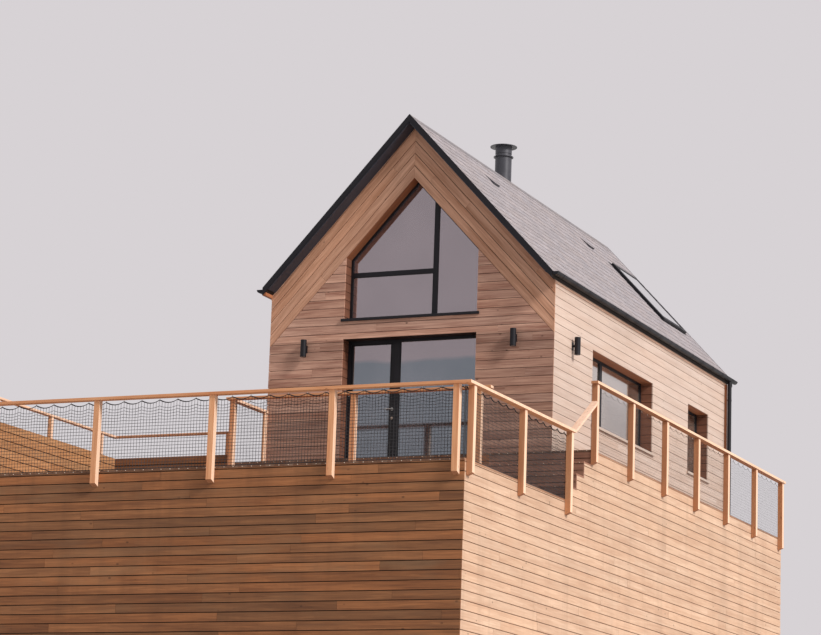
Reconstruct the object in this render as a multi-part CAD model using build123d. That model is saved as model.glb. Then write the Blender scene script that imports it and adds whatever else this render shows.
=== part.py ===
"""Holiday lodge: a boarded gable house on a raised timber deck with a stair, terrace and guard rails."""

import math
import os

from build123d import *

# Levels, in millimetres above the lowest ground that the lodge meets
deck_level = 2560
riser_height = 240
riser_count = 4
floor_step = 45
head_height = 2272
side_sill_height = 925
eaves_height = 3158

# Deck plan: the origin of these plan sizes is the outer front right corner of the deck
deck_past_house = 2230
terrace_front = 5190
tread_going = 325
stair_width = 1750
carriage_thickness = 45
riser_thickness = 28
skirt_thickness = 120
board_thickness = 28
joist_depth = 117
screen_height = 1100
low_rail_height = 1500
seat_gap = 0.3

# House plan
house_front = 6430
house_length = 9520
house_width = 5270
walkway_width = 1150
wall_thickness = 320
reveal_depth = 230
floor_thickness = 225
terrace_left_margin = 30

# Roof
roof_pitch = 47.3
roof_thickness = 80
verge_overhang = 280
eaves_overhang = 43
ridge_cap_width = 150
ridge_cap_thickness = 14
verge_trim_depth = 92
verge_trim_thickness = 16
gutter_radius = 58
gutter_wall = 4
gutter_drop = 12
downpipe_radius = 40
downpipe_from_rear = 65

# Guard rails
post_size = 95
post_drop = 245
post_tip = 40
rail_width = 120
rail_thickness = 45
guard_height = 1100
corner_inset = 118
front_post_pitch = 1955
side_post_count = 3
side_post_before_stair = 111
walkway_post_past_step = 35
walkway_post_before_end = 213
walkway_post_count = 7
terrace_post_past_stair = 170
terrace_post_before_end = 50
terrace_post_count = 3
terrace_rail_reach = 220
low_post_size = 70
low_post_before_garden = 430
low_post_pitch = 1660
low_rail_width = 90
low_rail_thickness = 35
wall_post_thickness = 45
stair_rail_rise = 640
stair_rail_start = 25
net_thickness = 6
net_inset = 14
net_end_gap = 25
net_top_drop = 60
net_bar = 12
net_columns = 12
net_rows = 3

# Windows and the door unit
frame_depth = 70
frame_face = 62
glass_thickness = 28
front_opening_width = 2514
gable_sill_height = 76
gable_jamb_height = 1125
gable_mullion_shift = 353
gable_mullion_face = 88
gable_transom_height = 846
gable_transom_face = 78
door_leaf_width = 850
door_leaf_face = 92
door_leaf_depth = 56
door_gap = 8
door_lip = 16
door_lip_cover = 12
door_mullion_face = 77
threshold_height = 30
handle_height = 1040
handle_length = 135
handle_radius = 10
handle_standoff = 52
rose_radius = 26
rose_thickness = 10
hinge_radius = 9
hinge_length = 110
hinge_count = 3
hinge_end_margin = 220
hinge_flap_width = 38
hinge_flap_thickness = 3
hinge_pin_radius = 4
hinge_running_gap = 0.3
big_window_start = 1868
big_window_width = 3259
big_window_mullion = 1072
big_window_mullion_face = 130
small_window_from_rear = 1083
small_window_width = 1294
rear_window_width = 1294
sill_thickness = 30
sill_nose = 35
sill_nose_height = 45
sill_horn = 22
lining_thickness = 22

# Roof fittings and lamps
flue_radius = 156
flue_offset = 265
flue_from_front = 4700
flue_above_ridge = 575
flue_band_radius = 187
flue_band_height = 15
flue_collar_radius = 148
flue_collar_height = 51
flue_neck_height = 134
cowl_radius = 253
cowl_rim_height = 10
cowl_cone_height = 30
cowl_top_radius = 40
flashing_width = 620
flashing_length = 640
flashing_thickness = 8
roof_window_from_rear = 280
roof_window_width = 1380
roof_window_length = 1600
roof_window_from_ridge = 1150
roof_window_proud = 62
roof_window_face = 95
roof_window_chamfer = 9
lamp_radius = 52
lamp_height = 300
lamp_height_over_floor = 2105
lamp_spread = 1940
lamp_standoff = 40
lamp_arm_size = 36
lamp_plate_height = 130
lamp_plate_thickness = 12
side_lamp_from_front = 880
vent_length = 340
vent_width = 260
vent_height = 45
vent_from_ridge = 590
vent_from_front = 2030
vent_from_rear = 2280
cut_margin = 1

# Values that follow from the sizes above
slope = math.tan(math.radians(roof_pitch))
roof_drop = roof_thickness / math.cos(math.radians(roof_pitch))
terrace_level = deck_level + riser_count * riser_height
floor_level = terrace_level + floor_step
head_level = floor_level + head_height
side_sill_level = floor_level + side_sill_height
upper_floor_level = head_level + floor_thickness
deck_width = walkway_width + house_width + deck_past_house
house_right = -walkway_width
house_left = house_right - house_width
house_centre = (house_left + house_right) / 2
house_rear = house_front + house_length
inner_left = house_left + wall_thickness
inner_right = house_right - wall_thickness
inner_front = house_front + wall_thickness
inner_rear = house_rear - wall_thickness
half_span = house_width / 2 + eaves_overhang
eaves_level = floor_level + eaves_height
ridge_level = eaves_level + half_span * slope
verge_front = house_front - verge_overhang
verge_rear = house_rear + verge_overhang
stair_front = terrace_front - (riser_count - 1) * tread_going
terrace_left = house_left - terrace_left_margin
opening_left = house_centre - front_opening_width / 2
opening_right = opening_left + front_opening_width
gable_sill_level = upper_floor_level + gable_sill_height
gable_shoulder_level = gable_sill_level + gable_jamb_height
gable_transom_level = gable_sill_level + gable_transom_height
gable_apex_level = gable_shoulder_level + front_opening_width / 2 * slope
frame_front = house_front + reveal_depth
big_window_front = house_front + big_window_start
small_window_front = house_rear - small_window_from_rear - small_window_width
side_post_span = stair_front - side_post_before_stair - corner_inset
walkway_post_start = terrace_front + walkway_post_past_step
walkway_post_span = house_rear - walkway_post_before_end - walkway_post_start
terrace_post_start = stair_width + terrace_post_past_stair
terrace_post_span = -terrace_left - terrace_post_before_end - terrace_post_start
gutter_offset = half_span + gutter_radius
gutter_level = eaves_level - gutter_drop
flue_neck_level = ridge_level + flue_above_ridge + flue_band_height + flue_collar_height
cowl_level = flue_neck_level + flue_neck_height
lamp_level = floor_level + lamp_height_over_floor
door_left = opening_left + frame_face + door_gap
door_right = door_left + door_leaf_width
door_mullion_left = door_right + door_gap
door_mullion_right = door_mullion_left + door_mullion_face
door_front = frame_front + door_lip + door_gap
door_back = door_front + door_leaf_depth
door_low = floor_level + threshold_height + door_gap
door_high = head_level - frame_face - door_gap
door_frame_back = frame_front + frame_depth + door_gap
hinge_x = door_left - door_gap / 2
hinge_y = door_back + hinge_radius + hinge_running_gap
deck_board_level = deck_level - board_thickness
terrace_board_level = terrace_level - board_thickness
plan_left = -deck_width - skirt_thickness
plan_right = rail_width
plan_front = -rail_width
plan_rear = verge_rear + verge_trim_thickness
to_origin = Pos(-(plan_left + plan_right) / 2, -(plan_front + plan_rear) / 2, 0)


def block(x0, x1, y0, y1, z0, z1):
    """A plain timber, slab or wall between two corners."""
    middle = Pos((x0 + x1) / 2, (y0 + y1) / 2, (z0 + z1) / 2)
    return middle * Box(x1 - x0, y1 - y0, z1 - z0)


def gable_plate(points, y0, y1):
    """A flat piece with its outline in X and Z, as thick as from y0 to y1."""
    outline = Wire.make_polygon([Vector(x, y0, z) for x, z in points], close=True)
    return extrude(Face(outline), amount=y1 - y0, dir=(0, 1, 0))


def side_plate(points, x0, x1):
    """A flat piece with its outline in Y and Z, as thick as from x0 to x1."""
    outline = Wire.make_polygon([Vector(x0, y, z) for y, z in points], close=True)
    return extrude(Face(outline), amount=x1 - x0, dir=(1, 0, 0))


def plan_plate(points, z0, z1):
    """A flat piece with its outline in X and Y, as thick as from z0 to z1."""
    outline = Wire.make_polygon([Vector(x, y, z0) for x, y in points], close=True)
    return extrude(Face(outline), amount=z1 - z0, dir=(0, 0, 1))


def top_of_roof(x, lift=0):
    """The height of the slates at a distance across the house, or of a plane square to them by lift."""
    return ridge_level - abs(x - house_centre) * slope + lift / math.cos(math.radians(roof_pitch))


def under_roof(x):
    """The height of the roof's underside at a distance across the house."""
    return top_of_roof(x) - roof_drop


def write(name, *solids):
    """Writes one node, moved so that the plan's middle is the origin."""
    shape = solids[0] if len(solids) == 1 else Compound(list(solids))
    export_step(to_origin * shape, f"parts/{name}.step")


# Deck, skirts and stair


def front_skirt():
    return block(plan_left, 0, 0, skirt_thickness, 0, deck_board_level)


def stair_profile(low, start, end):
    """The stepped outline behind the risers and under the treads, down to low between start and end."""
    points = [(start, low), (end, low)]
    if end > terrace_front + riser_thickness:
        points += [(end, terrace_board_level), (terrace_front + riser_thickness, terrace_board_level)]
    for step in range(riser_count - 1, 0, -1):
        front = stair_front + (step - 1) * tread_going + riser_thickness
        level = deck_board_level + step * riser_height
        points += [(front + tread_going, level), (front, level)]
    return points


def side_skirt():
    """The boarded side follows the stair up to the walkway in steps."""
    points = stair_profile(0, skirt_thickness, house_rear)
    points += [(stair_front + riser_thickness, deck_board_level), (skirt_thickness, deck_board_level)]
    return side_plate(points, -skirt_thickness, 0)


def left_deck_wall():
    """The screen wall on the left of the deck, which holds back the higher garden."""
    rear = terrace_front + skirt_thickness
    return block(plan_left, -deck_width, skirt_thickness, rear, 0, deck_level + screen_height)


def garden_wall():
    rear = terrace_front + skirt_thickness
    return block(-deck_width, terrace_left, terrace_front, rear, 0, deck_level + screen_height)


def end_skirts():
    """The boarded ends under the terrace's left side and under the walkway's rear end."""
    front = terrace_front + skirt_thickness
    inner = terrace_left + skirt_thickness
    rear = house_rear - skirt_thickness
    return [
        block(terrace_left, inner, front, house_front, 0, terrace_board_level),
        block(house_right, -skirt_thickness, rear, house_rear, 0, terrace_board_level),
    ]


def terrace_fascia():
    """The boards under the terrace's front edge, from the deck up."""
    rear = terrace_front + skirt_thickness
    return block(terrace_left, -stair_width, terrace_front, rear, deck_level, terrace_board_level)


def deck_floor():
    """Boards that run out over the skirts and under the stair, on joists between the skirts."""
    strip_end = stair_front + riser_thickness
    points = [
        (plan_left, 0),
        (0, 0),
        (0, strip_end),
        (-skirt_thickness, strip_end),
        (-skirt_thickness, terrace_front),
        (-deck_width, terrace_front),
        (-deck_width, skirt_thickness),
        (plan_left, skirt_thickness),
    ]
    boards = plan_plate(points, deck_board_level, deck_level)
    joists_low = deck_board_level - joist_depth
    joists = block(
        -deck_width, -skirt_thickness, skirt_thickness, terrace_front, joists_low, deck_board_level
    )
    return boards + joists


def upper_deck_outline(inset):
    """The terrace and the walkway in plan, its free edges moved in by inset."""
    return [
        (terrace_left + inset, terrace_front + inset),
        (-inset, terrace_front + inset),
        (-inset, house_rear - inset),
        (house_right, house_rear - inset),
        (house_right, house_front),
        (terrace_left + inset, house_front),
    ]


def upper_deck_floor():
    """Terrace in front of the house and the walkway along its right side, boards on joists."""
    boards = plan_plate(upper_deck_outline(0), terrace_board_level, terrace_level)
    joists_low = terrace_board_level - joist_depth
    joists = plan_plate(upper_deck_outline(skirt_thickness), joists_low, terrace_board_level)
    return boards + joists


def stair_treads():
    """Boards as deep as the going, each reaching back under the next riser."""
    treads = []
    for step in range(1, riser_count):
        front = stair_front + (step - 1) * tread_going
        rear = front + tread_going + riser_thickness
        top = deck_level + step * riser_height
        treads.append(block(-stair_width, 0, front, rear, top - board_thickness, top))
    return treads


def stair_risers():
    """The boards that close each step, standing on the tread below with their ends in view."""
    risers = []
    for step in range(riser_count):
        front = stair_front + step * tread_going
        low = deck_level + step * riser_height
        high = low + riser_height - board_thickness
        risers.append(block(-stair_width, 0, front, front + riser_thickness, low, high))
    return risers


def stair_carriages():
    """Two sawtooth bearers under the treads, one at the flight's left edge and one in the middle."""
    points = stair_profile(deck_level, stair_front + riser_thickness, terrace_front + riser_thickness)
    middle = -(stair_width + skirt_thickness) / 2
    carriages = []
    for left in (-stair_width, middle - carriage_thickness / 2):
        carriages.append(side_plate(points, left, left + carriage_thickness))
    return carriages


# Guard rails


def front_post(x, level):
    """A post on the face of the front skirt, with its foot cut on a slant."""
    low = level - post_drop
    high = level + guard_height - rail_thickness
    points = [(0, low), (-post_size, low + post_tip), (-post_size, high), (0, high)]
    return side_plate(points, x - post_size / 2, x + post_size / 2)


def side_post(y, level):
    """A post on the face of the side skirt, with its foot cut on a slant."""
    low = level - post_drop
    high = level + guard_height - rail_thickness
    points = [(0, low), (post_size, low + post_tip), (post_size, high), (0, high)]
    return gable_plate(points, y - post_size / 2, y + post_size / 2)


def deck_posts():
    posts = []
    x = -corner_inset
    while x > -deck_width:
        posts.append(front_post(x, deck_level))
        x -= front_post_pitch
    posts.append(front_post(plan_left + post_size / 2, deck_level))
    pitch = side_post_span / (side_post_count - 1)
    posts += [side_post(corner_inset + index * pitch, deck_level) for index in range(side_post_count)]
    return posts


def upper_posts():
    """The walkway's posts, the terrace's posts and the half post on the house's corner."""
    pitch = walkway_post_span / (walkway_post_count - 1)
    places = [walkway_post_start + index * pitch for index in range(walkway_post_count)]
    posts = [side_post(y, terrace_level) for y in places]
    pitch = terrace_post_span / (terrace_post_count - 1)
    for index in range(terrace_post_count):
        x = -terrace_post_start - index * pitch
        posts.append(Pos(0, terrace_front, 0) * front_post(x, terrace_level))
    posts.append(
        block(
            terrace_left,
            terrace_left + wall_post_thickness,
            house_front - post_size,
            house_front,
            terrace_level,
            terrace_level + guard_height - rail_thickness,
        )
    )
    return posts


def low_posts():
    """Short posts on top of the screen wall and the garden wall."""
    x = plan_left + skirt_thickness / 2
    low = deck_level + screen_height
    high = deck_level + low_rail_height - low_rail_thickness
    half = low_post_size / 2
    posts = []
    y = terrace_front - low_post_before_garden
    while y > skirt_thickness + low_post_size:
        posts.append(block(x - half, x + half, y - half, y + half, low, high))
        y -= low_post_pitch
    y = terrace_front + skirt_thickness / 2
    x = terrace_left - low_post_size
    posts.append(block(x - half, x + half, y - half, y + half, low, high))
    return posts


def lower_handrail():
    """One flat rail along the deck's front and back along its side to the stair."""
    rail_end = stair_front - stair_rail_start
    points = [
        (plan_left, -rail_width),
        (rail_width, -rail_width),
        (rail_width, rail_end),
        (0, rail_end),
        (0, 0),
        (plan_left, 0),
    ]
    top = deck_level + guard_height
    return plan_plate(points, top - rail_thickness, top)


def stair_handrail():
    """The sloping rail from the end of the lower rail up to the walkway's first post."""
    start = stair_front - stair_rail_start
    end = walkway_post_start - post_size / 2
    top = deck_level + guard_height
    points = [
        (start, top - rail_thickness),
        (end, top + stair_rail_rise - rail_thickness),
        (end, top + stair_rail_rise),
        (start, top),
    ]
    return side_plate(points, 0, rail_width)


def walkway_handrail():
    start = walkway_post_start - post_size
    end = walkway_post_start + walkway_post_span + post_size
    top = terrace_level + guard_height
    return block(0, rail_width, start, end, top - rail_thickness, top)


def terrace_handrail():
    """The rail in front of the house, with its return to the house's left corner."""
    right_end = -terrace_post_start + terrace_rail_reach
    left_end = terrace_left - rail_width / 2
    inner = terrace_left + rail_width / 2
    points = [
        (left_end, terrace_front - rail_width),
        (right_end, terrace_front - rail_width),
        (right_end, terrace_front),
        (inner, terrace_front),
        (inner, house_front),
        (left_end, house_front),
    ]
    top = terrace_level + guard_height
    return plan_plate(points, top - rail_thickness, top)


def low_handrail():
    """The low rail over the screen wall and the garden wall."""
    left = plan_left + skirt_thickness / 2 - low_rail_width / 2
    right = left + low_rail_width
    rear = terrace_front + skirt_thickness / 2 + low_rail_width / 2
    front = rear - low_rail_width
    points = [
        (left, skirt_thickness),
        (right, skirt_thickness),
        (right, front),
        (terrace_left - rail_width / 2, front),
        (terrace_left - rail_width / 2, rear),
        (left, rear),
    ]
    top = deck_level + low_rail_height
    return plan_plate(points, top - low_rail_thickness, top)


def net_cells(length):
    """The ends of each column of openings in a panel of that length, and of each row."""
    height = guard_height - net_top_drop - seat_gap
    width = (length - net_bar) / net_columns
    rise = (height - net_bar) / net_rows
    columns = [(net_bar + index * width, (index + 1) * width) for index in range(net_columns)]
    rows = [(net_bar + index * rise, (index + 1) * rise) for index in range(net_rows)]
    return columns, rows


def net_panel_along_x(x0, x1, y, level):
    """A panel as thick as the netting, with a grid of openings, behind a rail that runs across."""
    low = level + seat_gap
    high = level + guard_height - net_top_drop
    columns, rows = net_cells(x1 - x0)
    front, rear = y - cut_margin, y + net_thickness + cut_margin
    holes = [block(x0 + a, x0 + b, front, rear, low + c, low + d) for a, b in columns for c, d in rows]
    return block(x0, x1, y, y + net_thickness, low, high) - holes


def net_panel_along_y(y0, y1, level):
    """A panel as thick as the netting, with a grid of openings, behind the side's rail."""
    low = level + seat_gap
    high = level + guard_height - net_top_drop
    columns, rows = net_cells(y1 - y0)
    inner, outer = -net_inset - net_thickness, -net_inset
    left, right = inner - cut_margin, outer + cut_margin
    holes = [block(left, right, y0 + a, y0 + b, low + c, low + d) for a, b in columns for c, d in rows]
    return block(inner, outer, y0, y1, low, high) - holes


def netting():
    """Four panels: the deck's front and side, the terrace's front and the walkway's side."""
    left = terrace_left + net_end_gap
    right = -stair_width - net_end_gap
    side_front = net_inset + net_end_gap + net_thickness
    return [
        net_panel_along_x(-deck_width + net_end_gap, -net_end_gap, net_inset, deck_level),
        net_panel_along_y(side_front, stair_front - net_end_gap, deck_level),
        net_panel_along_x(left, right, terrace_front + net_inset, terrace_level),
        net_panel_along_y(terrace_front + net_end_gap, house_rear - net_end_gap, terrace_level),
    ]


# House walls and floors


def front_wall_sides():
    """The two piers beside the front openings, each up to the sloping roof."""
    left = [
        (house_left, 0),
        (opening_left, 0),
        (opening_left, under_roof(opening_left)),
        (house_left, under_roof(house_left)),
    ]
    right = [
        (opening_right, 0),
        (house_right, 0),
        (house_right, under_roof(house_right)),
        (opening_right, under_roof(opening_right)),
    ]
    return [gable_plate(left, house_front, inner_front), gable_plate(right, house_front, inner_front)]


def front_wall_middle():
    """The base under the door, the band over it, and the chevron over the gable window."""
    base = block(opening_left, opening_right, house_front, inner_front, 0, floor_level)
    band = block(opening_left, opening_right, house_front, inner_front, head_level, gable_sill_level)
    points = [
        (opening_left, gable_shoulder_level),
        (house_centre, gable_apex_level),
        (opening_right, gable_shoulder_level),
        (opening_right, under_roof(opening_right)),
        (house_centre, under_roof(house_centre)),
        (opening_left, under_roof(opening_left)),
    ]
    return [base, band, gable_plate(points, house_front, inner_front)]


def side_openings():
    """Each side window's front and rear edges along the house."""
    return [
        (big_window_front, big_window_front + big_window_width),
        (small_window_front, small_window_front + small_window_width),
    ]


def side_wall_lower(outer, inner):
    return block(min(outer, inner), max(outer, inner), inner_front, inner_rear, 0, side_sill_level)


def side_wall_upper(outer, inner):
    """The piers beside the windows and the head over them, up to the sloping roof."""
    points = [
        (outer, side_sill_level),
        (inner, side_sill_level),
        (inner, under_roof(inner)),
        (outer, under_roof(outer)),
    ]
    wall = gable_plate(points, inner_front, inner_rear)
    left = min(outer, inner) - cut_margin
    right = max(outer, inner) + cut_margin
    for front, rear in side_openings():
        wall -= block(left, right, front, rear, side_sill_level - cut_margin, head_level)
    return wall


def rear_window_sides():
    half = rear_window_width / 2
    return house_centre - half, house_centre + half


def rear_wall_sides():
    x0, x1 = rear_window_sides()
    left = [
        (house_left, 0),
        (x0, 0),
        (x0, under_roof(x0)),
        (house_left, under_roof(house_left)),
    ]
    right = [
        (x1, 0),
        (house_right, 0),
        (house_right, under_roof(house_right)),
        (x1, under_roof(x1)),
    ]
    return [gable_plate(left, inner_rear, house_rear), gable_plate(right, inner_rear, house_rear)]


def rear_wall_middle():
    """Under, between and over the two rear windows."""
    x0, x1 = rear_window_sides()
    top = [
        (x0, gable_shoulder_level),
        (x1, gable_shoulder_level),
        (x1, under_roof(x1)),
        (house_centre, under_roof(house_centre)),
        (x0, under_roof(x0)),
    ]
    return [
        block(x0, x1, inner_rear, house_rear, 0, side_sill_level),
        block(x0, x1, inner_rear, house_rear, head_level, gable_sill_level),
        gable_plate(top, inner_rear, house_rear),
    ]


def storey_floor(top):
    return block(inner_left, inner_right, inner_front, inner_rear, top - floor_thickness, top)


# Roof


def roof_slope(side):
    """One pitched slope with its plumb edges at the ridge and the eaves; side is -1 left, 1 right."""
    eaves = house_centre + side * half_span
    points = [
        (house_centre, top_of_roof(house_centre)),
        (eaves, top_of_roof(eaves)),
        (eaves, under_roof(eaves)),
        (house_centre, under_roof(house_centre)),
    ]
    return gable_plate(points, verge_front, verge_rear)


def gable_band(reach, lift, depth, y0, y1):
    """A band that follows both slopes: its top is lift over the slates and it is depth deep."""
    left, right = house_centre - reach, house_centre + reach
    points = [
        (left, top_of_roof(left, lift)),
        (house_centre, top_of_roof(house_centre, lift)),
        (right, top_of_roof(right, lift)),
        (right, top_of_roof(right, lift - depth)),
        (house_centre, top_of_roof(house_centre, lift - depth)),
        (left, top_of_roof(left, lift - depth)),
    ]
    return gable_plate(points, y0, y1)


def ridge_cap():
    reach = ridge_cap_width * math.cos(math.radians(roof_pitch))
    return gable_band(reach, ridge_cap_thickness, ridge_cap_thickness, verge_front, verge_rear)


def verge_trims():
    """The dark band over both slopes' ends, front and rear."""
    trims = []
    for start in (verge_front - verge_trim_thickness, verge_rear):
        end = start + verge_trim_thickness
        trims.append(gable_band(half_span, ridge_cap_thickness, verge_trim_depth, start, end))
    return trims


def gutter(side):
    """A half-round gutter with closed ends along the eaves."""
    x = house_centre + side * gutter_offset
    length = verge_rear - verge_front
    place = Pos(x, (verge_front + verge_rear) / 2, gutter_level) * Rot(90, 0, 0)
    outer = place * Cylinder(gutter_radius, length)
    inner = place * Cylinder(gutter_radius - gutter_wall, length - 2 * gutter_wall)
    above = block(
        x - 2 * gutter_radius,
        x + 2 * gutter_radius,
        verge_front - cut_margin,
        verge_rear + cut_margin,
        gutter_level,
        gutter_level + 2 * gutter_radius,
    )
    return outer - inner - above


def downpipe(side, foot_level):
    """A pipe from under the gutter straight down beside the house's rear corner."""
    x = house_centre + side * gutter_offset
    y = house_rear - downpipe_from_rear
    height = gutter_level - gutter_radius - foot_level
    pipe = Pos(x, y, foot_level + height / 2) * Cylinder(downpipe_radius, height)
    return pipe


def downpipes():
    """The right pipe stands on the walkway and the left one reaches the ground."""
    return [downpipe(1, terrace_level), downpipe(-1, 0)]


def below_left_slope():
    """Everything under the left slope's slates, to cut what stands on them."""
    points = [
        (house_centre, 0),
        (house_centre, top_of_roof(house_centre)),
        (house_left, top_of_roof(house_left)),
        (house_left, 0),
    ]
    return gable_plate(points, house_front, house_rear)


def flue_pipe():
    """The round flue, scribed to the left slope, with a band, a slimmer collar and a neck on top."""
    foot = top_of_roof(house_centre - flue_offset - flue_radius) - flue_radius
    stages = [
        (flue_radius, foot, ridge_level + flue_above_ridge),
        (flue_band_radius, ridge_level + flue_above_ridge, flue_neck_level - flue_collar_height),
        (flue_collar_radius, flue_neck_level - flue_collar_height, flue_neck_level),
        (flue_radius, flue_neck_level, cowl_level),
    ]
    pipe = sum((flue_stage(*stage) for stage in stages[1:]), flue_stage(*stages[0]))
    return pipe - below_left_slope()


def flue_stage(radius, low, high):
    """A round length of the flue between two levels."""
    x = house_centre - flue_offset
    y = house_front + flue_from_front
    return Pos(x, y, (low + high) / 2) * Cylinder(radius, high - low)


def flue_cowl():
    """A wide thin disc over the neck, rising to a low cone."""
    rim = flue_stage(cowl_radius, cowl_level, cowl_level + cowl_rim_height)
    x = house_centre - flue_offset
    y = house_front + flue_from_front
    start = cowl_level + cowl_rim_height
    cone = Pos(x, y, start + cowl_cone_height / 2) * Cone(cowl_radius, cowl_top_radius, cowl_cone_height)
    return rim + cone


def on_slope(side, down, y):
    """A plane on the slates, its X pointing down the slope and its Z out of the roof."""
    pitch = math.radians(roof_pitch)
    run, fall = math.cos(pitch), math.sin(pitch)
    origin = (house_centre + side * down * run, y, ridge_level - down * fall)
    return Plane(origin=origin, x_dir=(side * run, 0, -fall), z_dir=(side * fall, 0, run))


def flue_flashing():
    """A flat apron on the slates round the flue, just below the ridge capping."""
    start = ridge_cap_width + seat_gap
    plane = on_slope(-1, start + flashing_length / 2, house_front + flue_from_front)
    plate = Pos(0, 0, flashing_thickness / 2) * Box(flashing_length, flashing_width, flashing_thickness)
    x = house_centre - flue_offset
    hole = Pos(x, house_front + flue_from_front, ridge_level) * Cylinder(flue_radius + seat_gap, ridge_level)
    return plane * plate - hole


def roof_window_place():
    down = roof_window_from_ridge + roof_window_length / 2
    y = house_rear - roof_window_from_rear - roof_window_width / 2
    return on_slope(1, down, y)


def roof_window():
    """The frame that stands on the slates, open in the middle for the glass."""
    place = roof_window_place()
    middle = Pos(0, 0, roof_window_proud / 2)
    frame = middle * Box(roof_window_length, roof_window_width, roof_window_proud)
    frame = chamfer(frame.edges().group_by(Axis.Z)[-1], roof_window_chamfer)
    inner_length = roof_window_length - 2 * roof_window_face
    inner_width = roof_window_width - 2 * roof_window_face
    return place * (frame - middle * Box(inner_length, inner_width, 2 * roof_window_proud))


def roof_window_glass():
    inner_length = roof_window_length - 2 * roof_window_face
    inner_width = roof_window_width - 2 * roof_window_face
    pane = Pos(0, 0, glass_thickness / 2) * Box(inner_length, inner_width, glass_thickness)
    return roof_window_place() * pane


def roof_vents():
    """Low wedge-shaped slate vents near the ridge."""
    vents = []
    for start in (house_front + vent_from_front, house_rear - vent_from_rear - vent_width):
        plane = on_slope(1, vent_from_ridge, start + vent_width / 2)
        outline = Wire.make_polygon(
            [
                Vector(0, -vent_width / 2, 0),
                Vector(vent_length, -vent_width / 2, 0),
                Vector(vent_length, -vent_width / 2, vent_height),
            ],
            close=True,
        )
        vents.append(plane * extrude(Face(outline), amount=vent_width, dir=(0, 1, 0)))
    return vents


# Windows


def gable_window_outline(inset):
    """The five-sided opening's corners, moved inwards by inset on every side."""
    pitch = math.radians(roof_pitch)
    left = opening_left + inset
    right = opening_right - inset
    sloping = inset / math.cos(pitch)
    shoulder = gable_shoulder_level + inset * slope - sloping
    return [
        (left, gable_sill_level + inset),
        (right, gable_sill_level + inset),
        (right, shoulder),
        (house_centre, gable_apex_level - sloping),
        (left, shoulder),
    ]


def gable_window_bars():
    """The mullion's sides and the transom's lower and upper faces."""
    mullion = house_centre + gable_mullion_shift
    half = gable_mullion_face / 2
    rise = gable_transom_face / 2
    return mullion - half, mullion + half, gable_transom_level - rise, gable_transom_level + rise


def gable_window_frame():
    """The frame, its mullion and the transom in the left light."""
    rear = frame_front + frame_depth
    left, right, low, high = gable_window_bars()
    outer = gable_plate(gable_window_outline(0), frame_front, rear)
    lights = gable_plate(gable_window_outline(frame_face), frame_front, rear)
    mullion = block(left, right, frame_front, rear, gable_sill_level, ridge_level)
    transom = block(opening_left, left, frame_front, rear, low, high)
    return outer - (lights - mullion - transom)


def gable_panes():
    """The three panes of the gable window."""
    front = frame_front + (frame_depth - glass_thickness) / 2
    rear = front + glass_thickness
    left, right, low, high = gable_window_bars()
    panes = gable_plate(gable_window_outline(frame_face), front, rear)
    panes -= block(left, right, front, rear, gable_sill_level, ridge_level)
    panes -= block(opening_left, left, front, rear, low, high)
    return list(panes.solids())


def fixed_pane():
    """The fixed pane beside the door."""
    front = frame_front + (frame_depth - glass_thickness) / 2
    right = opening_right - frame_face
    low = floor_level + frame_face
    return block(door_mullion_right, right, front, front + glass_thickness, low, head_level - frame_face)


# Door unit


def door_frame():
    """The outer frame with a stop lip round the leaf, and a fixed light on the right."""
    front = frame_front - cut_margin
    rear = door_frame_back + cut_margin
    left = opening_left + frame_face
    right = door_mullion_left
    low = floor_level + threshold_height
    high = head_level - frame_face
    cover = door_gap + door_lip_cover
    light_low = floor_level + frame_face
    frame = block(opening_left, opening_right, frame_front, door_frame_back, floor_level, head_level)
    frame -= block(left, right, frame_front + door_lip, rear, low, high)
    frame -= block(left + cover, right - cover, front, rear, low + cover, high - cover)
    frame -= block(door_mullion_right, opening_right - frame_face, front, rear, light_low, high)
    return frame


def leaf_light(front, rear):
    """The space inside the leaf's stiles and rails, between two depths."""
    left = door_left + door_leaf_face
    right = door_right - door_leaf_face
    return block(left, right, front, rear, door_low + door_leaf_face, door_high - door_leaf_face)


def door_leaf():
    leaf = block(door_left, door_right, door_front, door_back, door_low, door_high)
    return leaf - leaf_light(door_front - cut_margin, door_back + cut_margin)


def door_leaf_glass():
    front = door_front + (door_leaf_depth - glass_thickness) / 2
    return leaf_light(front, front + glass_thickness)


def door_handle():
    """A lever with a round neck on its rose on each face of the leaf, near the meeting stile."""
    x = door_right - door_leaf_face / 2
    z = floor_level + handle_height
    pieces = []
    for face, side in ((door_front, -1), (door_back, 1)):
        across = Rot(90, 0, 0)
        rose = Pos(x, face + side * rose_thickness / 2, z) * across
        rose *= Cylinder(rose_radius, rose_thickness)
        neck = Pos(x, face + side * handle_standoff / 2, z) * across
        neck *= Cylinder(handle_radius, handle_standoff)
        grip_x = x - handle_length / 2 + handle_radius
        along = Pos(grip_x, face + side * handle_standoff, z) * Rot(0, 90, 0)
        pieces.append(rose + neck + along * Cylinder(handle_radius, handle_length))
    return pieces


def hinge_levels():
    """Each hinge's lower end, spread evenly up the leaf."""
    low = door_low + hinge_end_margin
    high = door_high - hinge_end_margin - hinge_length
    return [low + (high - low) * index / (hinge_count - 1) for index in range(hinge_count)]


def hinge_knuckle(side, face, low, high):
    """A flap screwed to one face and the half barrel that it carries; side is -1 frame, 1 leaf."""
    flap_end = hinge_x + side * hinge_flap_width
    flap_top = face + hinge_flap_thickness
    flap = block(min(hinge_x, flap_end), max(hinge_x, flap_end), face, flap_top, low, high)
    web_end = hinge_x + side * hinge_radius
    web = block(min(hinge_x, web_end), max(hinge_x, web_end), face, hinge_y, low, high)
    barrel = Pos(hinge_x, hinge_y, (low + high) / 2) * Cylinder(hinge_radius, high - low)
    return flap + web + barrel


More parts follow.
